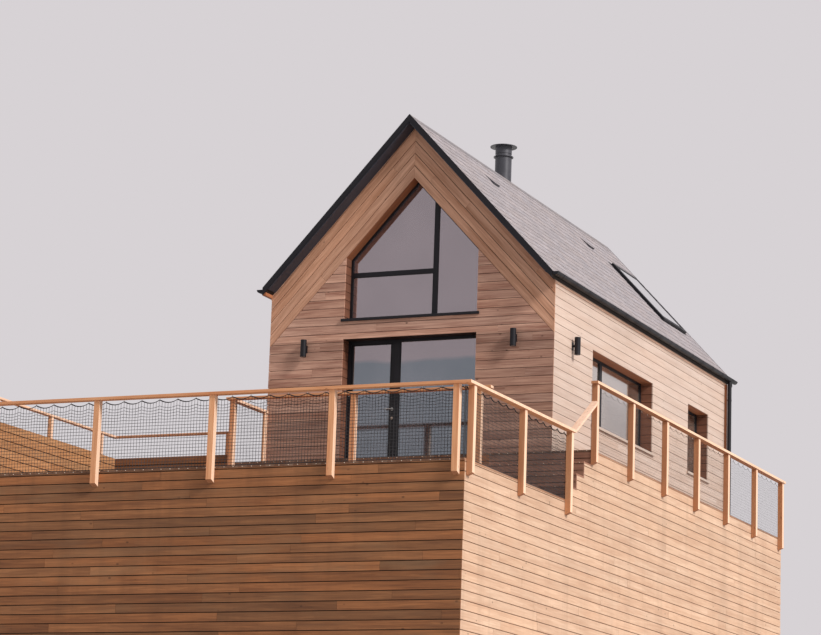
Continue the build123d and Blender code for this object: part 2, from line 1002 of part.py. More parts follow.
def hinge_pins():
    """The frame's flaps, each with the lower half of the barrel and the pin that stands up from it."""
    pieces = []
    for low in hinge_levels():
        middle = low + hinge_length / 2
        pin = Pos(hinge_x, hinge_y, low + hinge_length / 2) * Cylinder(hinge_pin_radius, hinge_length)
        pieces.append(hinge_knuckle(-1, door_frame_back, low, middle) + pin)
    return pieces


def hinge_barrels():
    """The leaf's flaps, each with the upper half of the barrel that turns on the pin."""
    pieces = []
    for low in hinge_levels():
        start = low + hinge_length / 2 + hinge_running_gap
        bore = Pos(hinge_x, hinge_y, start + hinge_length / 2)
        bore *= Cylinder(hinge_pin_radius + hinge_running_gap, 2 * hinge_length)
        pieces.append(hinge_knuckle(1, door_back, start, low + hinge_length) - bore)
    return pieces


# Side and rear windows, sills and lamps


def side_window_frame(outer, side, front, rear, mullion=None):
    """A frame in a side wall, its outer face set back by the reveal; side is 1 on the right wall."""
    face = outer - side * reveal_depth
    back = face - side * frame_depth
    left, right = min(face, back), max(face, back)
    low = side_sill_level + frame_face
    high = head_level - frame_face
    frame = block(left, right, front, rear, side_sill_level, head_level)
    light = block(left, right, front + frame_face, rear - frame_face, low, high)
    if mullion:
        half = big_window_mullion_face / 2
        middle = front + mullion
        light -= block(left, right, middle - half, middle + half, low, high)
    return frame - light


def side_panes(outer, side, front, rear, mullion=None):
    """The glass in one side window, a pane on each side of its mullion."""
    middle = outer - side * (reveal_depth + frame_depth / 2)
    left, right = middle - glass_thickness / 2, middle + glass_thickness / 2
    low = side_sill_level + frame_face
    high = head_level - frame_face
    edges = [front + frame_face, rear - frame_face]
    if mullion:
        half = big_window_mullion_face / 2
        edges[1:1] = [front + mullion - half, front + mullion + half]
    return [block(left, right, edges[i], edges[i + 1], low, high) for i in range(0, len(edges), 2)]


def side_lining(outer, side, front, rear):
    """Timber boards round the jambs and head of a side window's reveal."""
    back = outer - side * reveal_depth
    left, right = min(outer, back), max(outer, back)
    low = side_sill_level + sill_thickness
    lining = block(left, right, front, rear, low, head_level)
    inner_front = front + lining_thickness
    inner_rear = rear - lining_thickness
    return lining - block(left, right, inner_front, inner_rear, low, head_level - lining_thickness)


def rear_levels():
    return [(side_sill_level, head_level), (gable_sill_level, gable_shoulder_level)]


def rear_window_frame(low, high):
    left, right = rear_window_sides()
    back = house_rear - reveal_depth
    front = back - frame_depth
    face = frame_face
    frame = block(left, right, front, back, low, high)
    return frame - block(left + face, right - face, front, back, low + face, high - face)


def rear_pane(low, high):
    left, right = rear_window_sides()
    middle = house_rear - reveal_depth - frame_depth / 2
    half = glass_thickness / 2
    face = frame_face
    return block(left + face, right - face, middle - half, middle + half, low + face, high - face)


def rear_lining(low, high):
    """Timber boards round the jambs and head of a rear window's reveal."""
    left, right = rear_window_sides()
    front = house_rear - reveal_depth
    start = low + sill_thickness
    inner_left, inner_right = left + lining_thickness, right - lining_thickness
    lining = block(left, right, front, house_rear, start, high)
    return lining - block(inner_left, inner_right, front, house_rear, start, high - lining_thickness)


def door_lining():
    """Timber boards round the jambs and head of the door's reveal."""
    left = opening_left + lining_thickness
    right = opening_right - lining_thickness
    lining = block(opening_left, opening_right, house_front, frame_front, floor_level, head_level)
    return lining - block(left, right, house_front, frame_front, floor_level, head_level - lining_thickness)


def gable_lining():
    """Timber boards round the gable window's reveal, above its sill."""
    lining = gable_plate(gable_window_outline(0), house_front, frame_front)
    lining -= gable_plate(gable_window_outline(lining_thickness), house_front, frame_front)
    top = gable_sill_level + sill_thickness
    return lining - block(opening_left, opening_right, house_front, frame_front, gable_sill_level, top)


def each_side_window():
    """Each side window as its wall's outer face, that wall's side, its ends and its mullion."""
    big, small = side_openings()
    windows = []
    for outer, side in ((house_right, 1), (house_left, -1)):
        windows.append((outer, side, *big, big_window_mullion))
        windows.append((outer, side, *small, None))
    return windows


def window_linings():
    linings = [side_lining(*window[:4]) for window in each_side_window()]
    linings += [rear_lining(low, high) for low, high in rear_levels()]
    return linings + [door_lining(), gable_lining()]


def window_frames():
    frames = [side_window_frame(*window) for window in each_side_window()]
    frames += [rear_window_frame(low, high) for low, high in rear_levels()]
    return frames


def window_glass():
    """Every fixed pane: the gable's, the one beside the door, the sides' and the rear's."""
    panes = gable_panes() + [fixed_pane()]
    panes += [pane for window in each_side_window() for pane in side_panes(*window)]
    return panes + [rear_pane(low, high) for low, high in rear_levels()]


def sill_across(left, right, face, side, level):
    """A pressed sill in a front or rear reveal, with a wider, deeper nose past the boards."""
    frame = face - side * reveal_depth
    nose = face + side * sill_nose
    top = level + sill_thickness
    pan = block(left, right, min(frame, face), max(frame, face), level, top)
    low = top - sill_nose_height
    return pan + block(left - sill_horn, right + sill_horn, min(face, nose), max(face, nose), low, top)


def sill_along(front, rear, face, side, level):
    """A pressed sill in a side wall's reveal, with a wider, deeper nose past the boards."""
    frame = face - side * reveal_depth
    nose = face + side * sill_nose
    top = level + sill_thickness
    pan = block(min(frame, face), max(frame, face), front, rear, level, top)
    low = top - sill_nose_height
    return pan + block(min(face, nose), max(face, nose), front - sill_horn, rear + sill_horn, low, top)


def window_sills():
    sills = [sill_across(opening_left, opening_right, house_front, -1, gable_sill_level)]
    for outer, side, front, rear, _ in each_side_window():
        sills.append(sill_along(front, rear, outer, side, side_sill_level))
    left, right = rear_window_sides()
    sills += [sill_across(left, right, house_rear, 1, low) for low, _ in rear_levels()]
    return sills


def wall_lamp(place):
    """An up and down lamp: a tube on a short arm and a wall plate, made at a wall that faces -Y."""
    reach = lamp_standoff + lamp_radius
    tube = Pos(0, -reach, 0) * Cylinder(lamp_radius, lamp_height)
    arm = Pos(0, -reach / 2, 0) * Box(lamp_arm_size, reach, lamp_arm_size)
    depth = lamp_plate_thickness
    plate = Pos(0, -depth / 2, 0) * Box(2 * lamp_arm_size, depth, lamp_plate_height)
    return place * (tube + arm + plate)


def wall_lamps():
    return [
        wall_lamp(Pos(house_centre - lamp_spread, house_front, lamp_level)),
        wall_lamp(Pos(house_centre + lamp_spread, house_front, lamp_level)),
        wall_lamp(Pos(house_right, house_front + side_lamp_from_front, lamp_level) * Rot(0, 0, 90)),
    ]


os.makedirs("parts", exist_ok=True)

write("front_skirt", front_skirt())
write("side_skirt", side_skirt())
write("end_skirts", *end_skirts())
write("left_deck_wall", left_deck_wall())
write("garden_wall", garden_wall())
write("terrace_fascia", terrace_fascia())
write("deck_floor", deck_floor())
write("upper_deck_floor", upper_deck_floor())
write("stair_treads", *stair_treads())
write("stair_risers", *stair_risers())
write("stair_carriages", *stair_carriages())
write("deck_posts", *deck_posts())
write("upper_posts", *upper_posts())
write("low_posts", *low_posts())
write("lower_handrail", lower_handrail())
write("stair_handrail", stair_handrail())
write("walkway_handrail", walkway_handrail())
write("terrace_handrail", terrace_handrail())
write("low_handrail", low_handrail())
write("netting", *netting())
write("front_wall_sides", *front_wall_sides())
write("front_wall_middle", *front_wall_middle())
write("rear_wall_sides", *rear_wall_sides())
write("rear_wall_middle", *rear_wall_middle())
write("side_walls_lower", side_wall_lower(house_right, inner_right), side_wall_lower(house_left, inner_left))
write("right_wall_upper", side_wall_upper(house_right, inner_right))
write("left_wall_upper", side_wall_upper(house_left, inner_left))
write("house_floors", storey_floor(floor_level), storey_floor(upper_floor_level))
write("roof_left", roof_slope(-1))
write("roof_right", roof_slope(1))
write("ridge_cap", ridge_cap())
write("verge_trims", *verge_trims())
write("gutters", gutter(-1), gutter(1))
write("downpipes", *downpipes())
write("flue_pipe", flue_pipe())
write("flue_cowl", flue_cowl())
write("flue_flashing", flue_flashing())
write("roof_window", roof_window())
write("roof_window_glass", roof_window_glass())
write("roof_vents", *roof_vents())
write("gable_window_frame", gable_window_frame())
write("window_frames", *window_frames())
write("window_glass", *window_glass())
write("window_linings", *window_linings())
write("window_sills", *window_sills())
write("door_frame", door_frame())
write("door_leaf", door_leaf())
write("door_leaf_glass", door_leaf_glass())
write("door_handle", *door_handle())
write("hinge_pins", *hinge_pins())
write("hinge_barrels", *hinge_barrels())
write("wall_lamps", *wall_lamps())
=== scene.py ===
"""Dresses the holiday lodge: boards, slates, netting, glass, timber and paint, with its light and camera."""

import logging
import math
import random
from dataclasses import astuple, dataclass, field
from enum import Enum
from typing import Any

import bmesh
import bpy
from mathutils import Matrix, Vector


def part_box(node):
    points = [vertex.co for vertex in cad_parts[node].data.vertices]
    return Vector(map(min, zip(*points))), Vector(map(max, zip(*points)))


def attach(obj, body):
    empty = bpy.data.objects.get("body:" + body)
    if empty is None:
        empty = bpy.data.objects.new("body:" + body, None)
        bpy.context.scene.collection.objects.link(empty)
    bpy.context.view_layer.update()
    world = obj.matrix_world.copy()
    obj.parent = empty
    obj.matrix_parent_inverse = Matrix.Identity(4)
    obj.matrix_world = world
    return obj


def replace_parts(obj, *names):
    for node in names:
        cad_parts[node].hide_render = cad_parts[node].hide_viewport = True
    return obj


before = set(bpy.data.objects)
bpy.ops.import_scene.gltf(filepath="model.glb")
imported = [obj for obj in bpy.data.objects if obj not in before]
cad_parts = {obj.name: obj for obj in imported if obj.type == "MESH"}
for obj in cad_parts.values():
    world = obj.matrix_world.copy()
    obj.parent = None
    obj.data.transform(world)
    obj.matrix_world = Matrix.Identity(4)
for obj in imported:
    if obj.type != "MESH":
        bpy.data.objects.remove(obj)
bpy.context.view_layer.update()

log = logging.getLogger("lodge")

RIGHT = Vector((1, 0, 0))
BACK = Vector((0, 1, 0))
UP = Vector((0, 0, 1))
PITCH = math.radians(47.3)
SLOPE = math.tan(PITCH)

# How near counts as touching, the distance at which vertices merge, the shortest stretch of board that is
# laid, and an open end that lies beyond every face
TOUCH = 1e-4
MERGE = 1e-5
SLIVER = 0.004
BEYOND = 20.0

# How wide the timber is that boards are cut from, in the grain's own metres
STOCK = 90.0

Colour = tuple[float, float, float, float]


def tint(red: int, green: int, blue: int) -> Colour:
    """A linear colour with full alpha from the 0 to 255 values that a paint card gives."""
    linear = [((c / 255 + 0.055) / 1.055) ** 2.4 if c > 10 else c / 255 / 12.92 for c in (red, green, blue)]
    return linear[0], linear[1], linear[2], 1.0


def dimmed(colour: Colour, share: float) -> Colour:
    """A colour with this share of its light."""
    return colour[0] * share, colour[1] * share, colour[2] * share, 1.0


# Shader maths


class Value:
    """A number or a colour on its way through a material, with the arithmetic that finishes use."""

    def __init__(self, graph: "Graph", socket: bpy.types.NodeSocket) -> None:
        """Keeps the socket and the graph that it belongs to."""
        self.graph = graph
        self.socket = socket

    def _math(self, kind: str, first: Any, second: Any) -> "Value":
        """One Math node on two values."""
        made = self.graph.node("ShaderNodeMath", {"operation": kind}, {0: first, 1: second})
        return Value(self.graph, made.outputs[0])

    def __add__(self, other: Any) -> "Value":
        """Sum."""
        return self._math("ADD", self, other)

    def __sub__(self, other: Any) -> "Value":
        """Difference."""
        return self._math("SUBTRACT", self, other)

    def __rsub__(self, other: Any) -> "Value":
        """Difference with the number first."""
        return self._math("SUBTRACT", other, self)

    def __mul__(self, other: Any) -> "Value":
        """Product."""
        return self._math("MULTIPLY", self, other)

    def __pow__(self, other: Any) -> "Value":
        """Power."""
        return self._math("POWER", self, other)

    def at_most(self, limit: float) -> "Value":
        """The value, held down to the limit."""
        return self._math("MINIMUM", self, limit)

    def at_least(self, other: Any) -> "Value":
        """The larger of two values."""
        return self._math("MAXIMUM", self, other)


class Graph:
    """The nodes of a material or of the sky."""

    def __init__(self, name: str, world: bpy.types.World | None = None) -> None:
        """Starts with a lone output node.

        Args:
            name: The name of the material that it makes.
            world: The world that it is for, when it isn't for a material.
        """
        self.holder = world or bpy.data.materials.new(name)
        self.holder.use_nodes = True
        self.tree = self.holder.node_tree
        self.tree.nodes.clear()
        self.output = self.node("ShaderNodeOutputWorld" if world else "ShaderNodeOutputMaterial")

    def node(
        self, kind: str, settings: dict[str, Any] | None = None, inputs: dict[Any, Any] | None = None
    ) -> bpy.types.Node:
        """Makes any node.

        Args:
            kind: The node's type.
            settings: Its own settings, set first.
            inputs: Plain values or Values for its sockets, by name or number.

        Returns:
            The node.
        """
        made = self.tree.nodes.new(kind)
        for name, setting in (settings or {}).items():
            setattr(made, name, setting)
        for key, given in (inputs or {}).items():
            if isinstance(given, Value):
                self.tree.links.new(given.socket, made.inputs[key])
            else:
                made.inputs[key].default_value = given
        return made

    def out(self, made: bpy.types.Node, key: str | int = 0) -> Value:
        """One output of a node as a Value."""
        return Value(self, made.outputs[key])

    def attribute(self, name: str) -> Value:
        """A piece's own stored vector."""
        return self.out(self.node("ShaderNodeAttribute", {"attribute_name": name}), "Vector")

    def mark(self, name: str) -> Value:
        """A piece's own stored number, from nothing to one."""
        return self.out(self.node("ShaderNodeAttribute", {"attribute_name": name}), "Fac").at_most(1.0)

    def place(self) -> Value:
        """The surface's place on the object, in metres."""
        return self.out(self.node("ShaderNodeTexCoord"), "Object")

    def parts(self, vector: Value) -> tuple[Value, Value, Value]:
        """The three numbers in a vector."""
        made = self.node("ShaderNodeSeparateXYZ", None, {0: vector})
        return self.out(made, 0), self.out(made, 1), self.out(made, 2)

    def scaled(self, vector: Value, scale: tuple[float, float, float]) -> Value:
        """The vector, stretched by a Mapping node."""
        return self.out(self.node("ShaderNodeMapping", None, {"Vector": vector, "Scale": scale}))

    def noise(self, vector: Value, scale: float, detail: float = 4.0, roughness: float = 0.55) -> Value:
        """Cloudy noise from nothing to one."""
        inputs = {"Vector": vector, "Scale": scale, "Detail": detail, "Roughness": roughness}
        return self.out(self.node("ShaderNodeTexNoise", None, inputs), 0)

    def cells(self, vector: Value, scale: float) -> Value:
        """The distance to the nearest of many scattered points."""
        return self.out(self.node("ShaderNodeTexVoronoi", None, {"Vector": vector, "Scale": scale}), 0)

    def range(self, factor: Value, low: float, high: float, new_low: float, new_high: float) -> Value:
        """A value carried from one range to another and held inside it."""
        inputs = {0: factor, 1: low, 2: high, 3: new_low, 4: new_high}
        return self.out(self.node("ShaderNodeMapRange", None, inputs))

    def mix(self, factor: Any, first: Any, second: Any, mode: str = "MIX") -> Value:
        """Two colours blended by a factor."""
        settings = {"data_type": "RGBA", "blend_type": mode}
        return self.out(self.node("ShaderNodeMix", settings, {0: factor, 6: first, 7: second}), 2)

    def bump(self, height: Value, strength: float, distance: float) -> Value:
        """A surface normal tilted by a height in metres."""
        inputs = {"Strength": strength, "Distance": distance, "Height": height}
        return self.out(self.node("ShaderNodeBump", None, inputs))

    def finish(self, inputs: dict[str, Any]) -> bpy.types.Material:
        """Ends the graph in a Principled shader with these sockets."""
        return self.end(self.node("ShaderNodeBsdfPrincipled", None, inputs))

    def end(self, shader: bpy.types.Node) -> Any:
        """Ends the graph in any shader, and gives back the material or world that holds it."""
        self.tree.links.new(shader.outputs[0], self.output.inputs[0])
        return self.holder

    def blend(self, factor: Value, first: bpy.types.Node, second: bpy.types.Node) -> bpy.types.Node:
        """Two shaders mixed by a factor.

        Args:
            factor: The second one's share.
            first: The first shader.
            second: The second shader.

        Returns:
            The node that mixes them.
        """
        both = self.node("ShaderNodeMixShader", None, {0: factor})
        self.tree.links.new(first.outputs[0], both.inputs[1])
        self.tree.links.new(second.outputs[0], both.inputs[2])
        return both


# Finishes


@dataclass(frozen=True)
class TimberFinish:
    """Sawn and planed timber whose grain follows each board's own length."""

    name: str
    pale: Colour
    deep: Colour
    grey: Colour
    spread: float = 0.5
    weathered: float = 0.3
    knots: float = 0.5
    warmth: float = 0.4
    darkening_and_shade: float = 0.0
    streaks: float = 0.0
    roughness: float = 0.72

    def build(self) -> bpy.types.Material:
        """Makes the material.

        Returns:
            The material.
        """
        g = Graph(self.name)
        grain = g.attribute("grain")
        tone, warmth, chance = g.parts(g.attribute("shade"))
        fibre = g.noise(g.scaled(grain, (1.6, 34.0, 34.0)), 1.0, 7.0, 0.62)
        figure = g.noise(g.scaled(grain, (0.55, 7.5, 7.5)), 1.0, 3.0, 0.5)
        pores = g.noise(g.scaled(grain, (9.0, 190.0, 190.0)), 1.0, 3.0, 0.6)
        rings = g.out(g.node("ShaderNodeMath", {"operation": "FRACT"}, {0: figure * 9.0}))
        ring_edge = g.range(rings, 0.0, 1.0, 0.0, 1.0) ** 2.2
        body = g.range(fibre * 0.55 + figure * 0.45, 0.36, 0.66, 0.0, 1.0)
        colour = g.mix(body, self.deep, self.pale)
        colour = g.mix(ring_edge * 0.28, colour, self.deep)
        colour = self.toned(g, colour, tone, warmth)
        colour = self.painted_sunlight(g, colour, body)
        # Painted shade on the faces marked for it: faces looking to the front and down, post feet and board
        # ends.
        colour = g.mix(g.mark("soiled"), colour, dimmed(self.deep, 0.6))
        if self.streaks:
            colour = self.streaked(g, colour)
        if self.darkening_and_shade:
            colour = self.darkened_and_shaded(g, colour)
        patches = g.range(g.noise(g.scaled(grain, (0.9, 2.6, 2.6)), 1.0, 4.0), 0.45, 0.75, 0.0, 1.0)
        colour = g.mix((patches * chance * self.weathered).at_most(0.8), colour, self.grey)
        colour = self.knotted(g, colour, grain, chance)
        height = fibre * 0.6 + pores * 0.25 + ring_edge * 0.3
        gloss = g.range(fibre + pores * 0.4, 0.3, 1.0, self.roughness - 0.12, self.roughness + 0.12)
        return g.finish(
            {"Base Color": colour, "Roughness": gloss, "Normal": g.bump(height, 0.55, 0.0016), "IOR": 1.45}
        )

    def toned(self, g: Graph, colour: Value, tone: Value, warmth: Value) -> Value:
        """Gives each board its own tone and warmth, under wide, faint stains.

        Args:
            g: The material's graph.
            colour: The colour so far.
            tone: Each board's tone.
            warmth: Each board's warmth.

        Returns:
            The toned colour.
        """
        level = g.range(tone, 0.0, 1.0, 1.0 - self.spread, 1.0 + self.spread * 0.45)
        half = self.warmth / 2
        lean = g.range(warmth, 0.0, 1.0, 0.5 - half, 0.5 + half)
        rust = g.mix(lean, (0.90, 0.96, 1.04, 1.0), (1.10, 0.99, 0.88, 1.0))
        colour = g.mix(1.0, g.mix(1.0, colour, rust, "MULTIPLY"), level, "MULTIPLY")
        stain = g.range(g.noise(g.place(), 0.7, 4.0), 0.3, 0.7, 0.93, 1.05)
        return g.mix(1.0, colour, stain, "MULTIPLY")

    def painted_sunlight(self, g: Graph, colour: Value, body: Value) -> Value:
        """Paints sunlight on the faces marked for it: a painted highlight that pales them."""
        pale = g.mix(body, tint(222, 182, 153), tint(240, 208, 182))
        return g.mix(g.mark("sunny") * 0.85, colour, pale)

    def streaked(self, g: Graph, colour: Value) -> Value:
        """Runs water stains down the boards.

        Args:
            g: The material's graph.
            colour: The colour so far.

        Returns:
            The streaked colour.
        """
        runs = g.noise(g.scaled(g.place(), (2.6, 2.6, 0.2)), 1.0, 4.0)
        fade = g.range(g.noise(g.place(), 0.9, 2.0), 0.35, 0.6, 0.3, 1.0)
        darkness = g.range(runs, 0.5, 0.72, 0.0, self.streaks) * fade
        return g.mix(darkness, colour, dimmed(self.deep, 0.62))

    def darkened_and_shaded(self, g: Graph, colour: Value) -> Value:
        """Darkens the front wall toward its right corner and in two courses of darker boards over the door,
        and adds painted shade low down, where the rail shades it.

        Args:
            g: The material's graph.
            colour: The colour so far.

        Returns:
            The damp colour.
        """
        across, _, height = g.parts(g.place())
        corner = g.range(across, 1.5, 2.3, 0.0, 1.0) * g.range(height, 5.2, 6.0, 1.0, 0.0)
        courses = g.range(height, 5.47, 5.48, 0.0, 1.0) * g.range(height, 5.80, 5.81, 1.0, 0.0)
        low = g.range(height, 4.4, 4.8, 1.0, 0.0) * g.range(across, -0.7, 1.5, 1.0, 0.3)
        darkness = (corner * 0.55 + courses * 0.6 + low * 0.8).at_most(1.0) * self.darkening_and_shade
        return g.mix(1.0, colour, 1.0 - darkness, "MULTIPLY")

    def knotted(self, g: Graph, colour: Value, grain: Value, chance: Value) -> Value:
        """Scatters small dark knots over some of the boards.

        Args:
            g: The material's graph.
            colour: The colour so far.
            grain: The place in the timber.
            chance: Each board's chance.

        Returns:
            The knotted colour.
        """
        cells = g.cells(g.scaled(grain, (4.2, 7.5, 7.5)), 1.0)
        gathered = g.range(g.noise(grain, 2.3, 1.0), 0.52, 0.58, 0.0, 1.0)
        knot = g.range(cells, 0.07, 0.13, 1.0, 0.0) * gathered * g.range(chance, 0.3, 0.4, 0.0, self.knots)
        return g.mix(knot, colour, dimmed(self.deep, 0.35))


@dataclass(frozen=True)
class SlateFinish:
    """Riven slate, each piece with its own tone."""

    name: str
    pale: Colour
    deep: Colour
    roughness: float = 0.66

    def build(self) -> bpy.types.Material:
        """Makes the material.

        Returns:
            The material.
        """
        g = Graph(self.name)
        grain = g.attribute("grain")
        tone, warmth, chance = g.parts(g.attribute("shade"))
        riven = g.noise(g.scaled(grain, (5.0, 11.0, 11.0)), 1.0, 8.0, 0.62)
        flecks = g.noise(grain, 95.0, 3.0)
        colour = g.mix(g.range(riven, 0.3, 0.7, 0.0, 1.0), self.deep, self.pale)
        colour = g.mix(1.0, colour, g.range(tone, 0.0, 1.0, 0.88, 1.05), "MULTIPLY")
        lean = g.mix(warmth, (0.98, 0.99, 1.02, 1.0), (1.03, 0.99, 0.97, 1.0))
        colour = g.mix(1.0, colour, lean, "MULTIPLY")
        lichen = g.range(g.noise(grain, 6.0, 6.0), 0.62, 0.7, 0.0, 0.3) * g.range(chance, 0.6, 1.0, 0.0, 1.0)
        colour = g.mix(lichen, colour, tint(196, 192, 172))
        gloss = g.range(riven + flecks * 0.4, 0.3, 1.1, self.roughness - 0.14, self.roughness + 0.16)
        return g.finish(
            {"Base Color": colour, "Roughness": gloss, "Normal": g.bump(riven + flecks * 0.2, 0.6, 0.003)}
        )


@dataclass(frozen=True)
class PaintFinish:
    """A satin coat on metal with a little dust and wear."""

    name: str
    colour: Colour
    dust: Colour
    roughness: float = 0.42
    metallic: float = 0.0
    dusting: float = 0.35
    gleam: float = 0.5

    def build(self) -> bpy.types.Material:
        """Makes the material.

        Returns:
            The material.
        """
        g = Graph(self.name)
        place = g.place()
        clouds = g.noise(place, 3.2, 6.0)
        fine = g.noise(place, 180.0, 2.0)
        settled = g.range(clouds, 0.42, 0.78, 0.0, self.dusting)
        colour = g.mix(settled, self.colour, self.dust)
        colour = g.mix(g.range(fine, 0.35, 0.65, 0.0, 0.18), colour, self.dust)
        gloss = g.range(clouds + fine * 0.3, 0.35, 0.95, self.roughness - 0.1, self.roughness + 0.18)
        inputs = {"Base Color": colour, "Roughness": gloss, "Normal": g.bump(fine, 0.12, 0.0004)}
        return g.finish(inputs | {"Metallic": self.metallic, "Specular IOR Level": self.gleam})


@dataclass(frozen=True)
class BrushedFinish:
    """Bare or dull metal with fine drawn lines."""

    name: str
    colour: Colour
    shadow: Colour
    roughness: float = 0.32
    metallic: float = 1.0
    stretch: tuple[float, float, float] = (260.0, 260.0, 9.0)

    def build(self) -> bpy.types.Material:
        """Makes the material.

        Returns:
            The material.
        """
        g = Graph(self.name)
        place = g.place()
        lines = g.noise(g.scaled(place, self.stretch), 1.0, 3.0)
        clouds = g.noise(place, 14.0, 5.0)
        colour = g.mix(g.range(clouds, 0.3, 0.7, 0.0, 1.0), self.shadow, self.colour)
        gloss = g.range(lines, 0.3, 0.7, self.roughness - 0.08, self.roughness + 0.14)
        inputs = {"Base Color": colour, "Roughness": gloss, "Normal": g.bump(lines, 0.15, 0.0003)}
        return g.finish(inputs | {"Metallic": self.metallic})


@dataclass(frozen=True)
class GlazingFinish:
    """Sealed double glazing, a little smeared, with a painted reflection: how strongly it mirrors, and in
    what tint, changes at a level.
    """

    name: str
    body: Colour
    smear: Colour
    mirror: float
    tone: Colour
    turn: tuple[float, float]
    low: tuple[float, Colour]
    alpha: float = 0.92

    def build(self) -> bpy.types.Material:
        """Makes the material.

        Returns:
            The material.
        """
        g = Graph(self.name)
        place = g.place()
        film = g.noise(place, 1.3, 4.0)
        drops = g.noise(place, 46.0, 2.0)
        colour = g.mix(g.range(film, 0.4, 0.7, 0.0, 1.0), self.body, self.smear)
        gloss = g.range(film + drops * 0.2, 0.4, 0.9, 0.03, 0.10)
        shared = {"Base Color": colour, "Roughness": gloss, "Alpha": self.alpha}
        # A painted reflection: one tinted mirror below the level and another above it.
        below, above = (
            g.node("ShaderNodeBsdfPrincipled", None, shared | {"IOR": mirror, "Specular Tint": tone})
            for mirror, tone in (self.low, (self.mirror, self.tone))
        )
        height = g.parts(place)[2] + film * 0.16
        return g.end(g.blend(g.range(height, self.turn[0], self.turn[1], 0.0, 1.0), below, above))


@dataclass(frozen=True)
class TwineFinish:
    """Twisted dark twine and rope."""

    name: str
    colour: Colour
    worn: Colour

    def build(self) -> bpy.types.Material:
        """Makes the material.

        Returns:
            The material.
        """
        g = Graph(self.name)
        place = g.place()
        twist = g.noise(place, 240.0, 2.0)
        faded = g.noise(place, 2.0, 4.0)
        colour = g.mix(g.range(faded + twist * 0.4, 0.5, 1.0, 0.0, 1.0), self.colour, self.worn)
        return g.finish({"Base Color": colour, "Roughness": g.range(twist, 0.3, 0.7, 0.62, 0.85)})


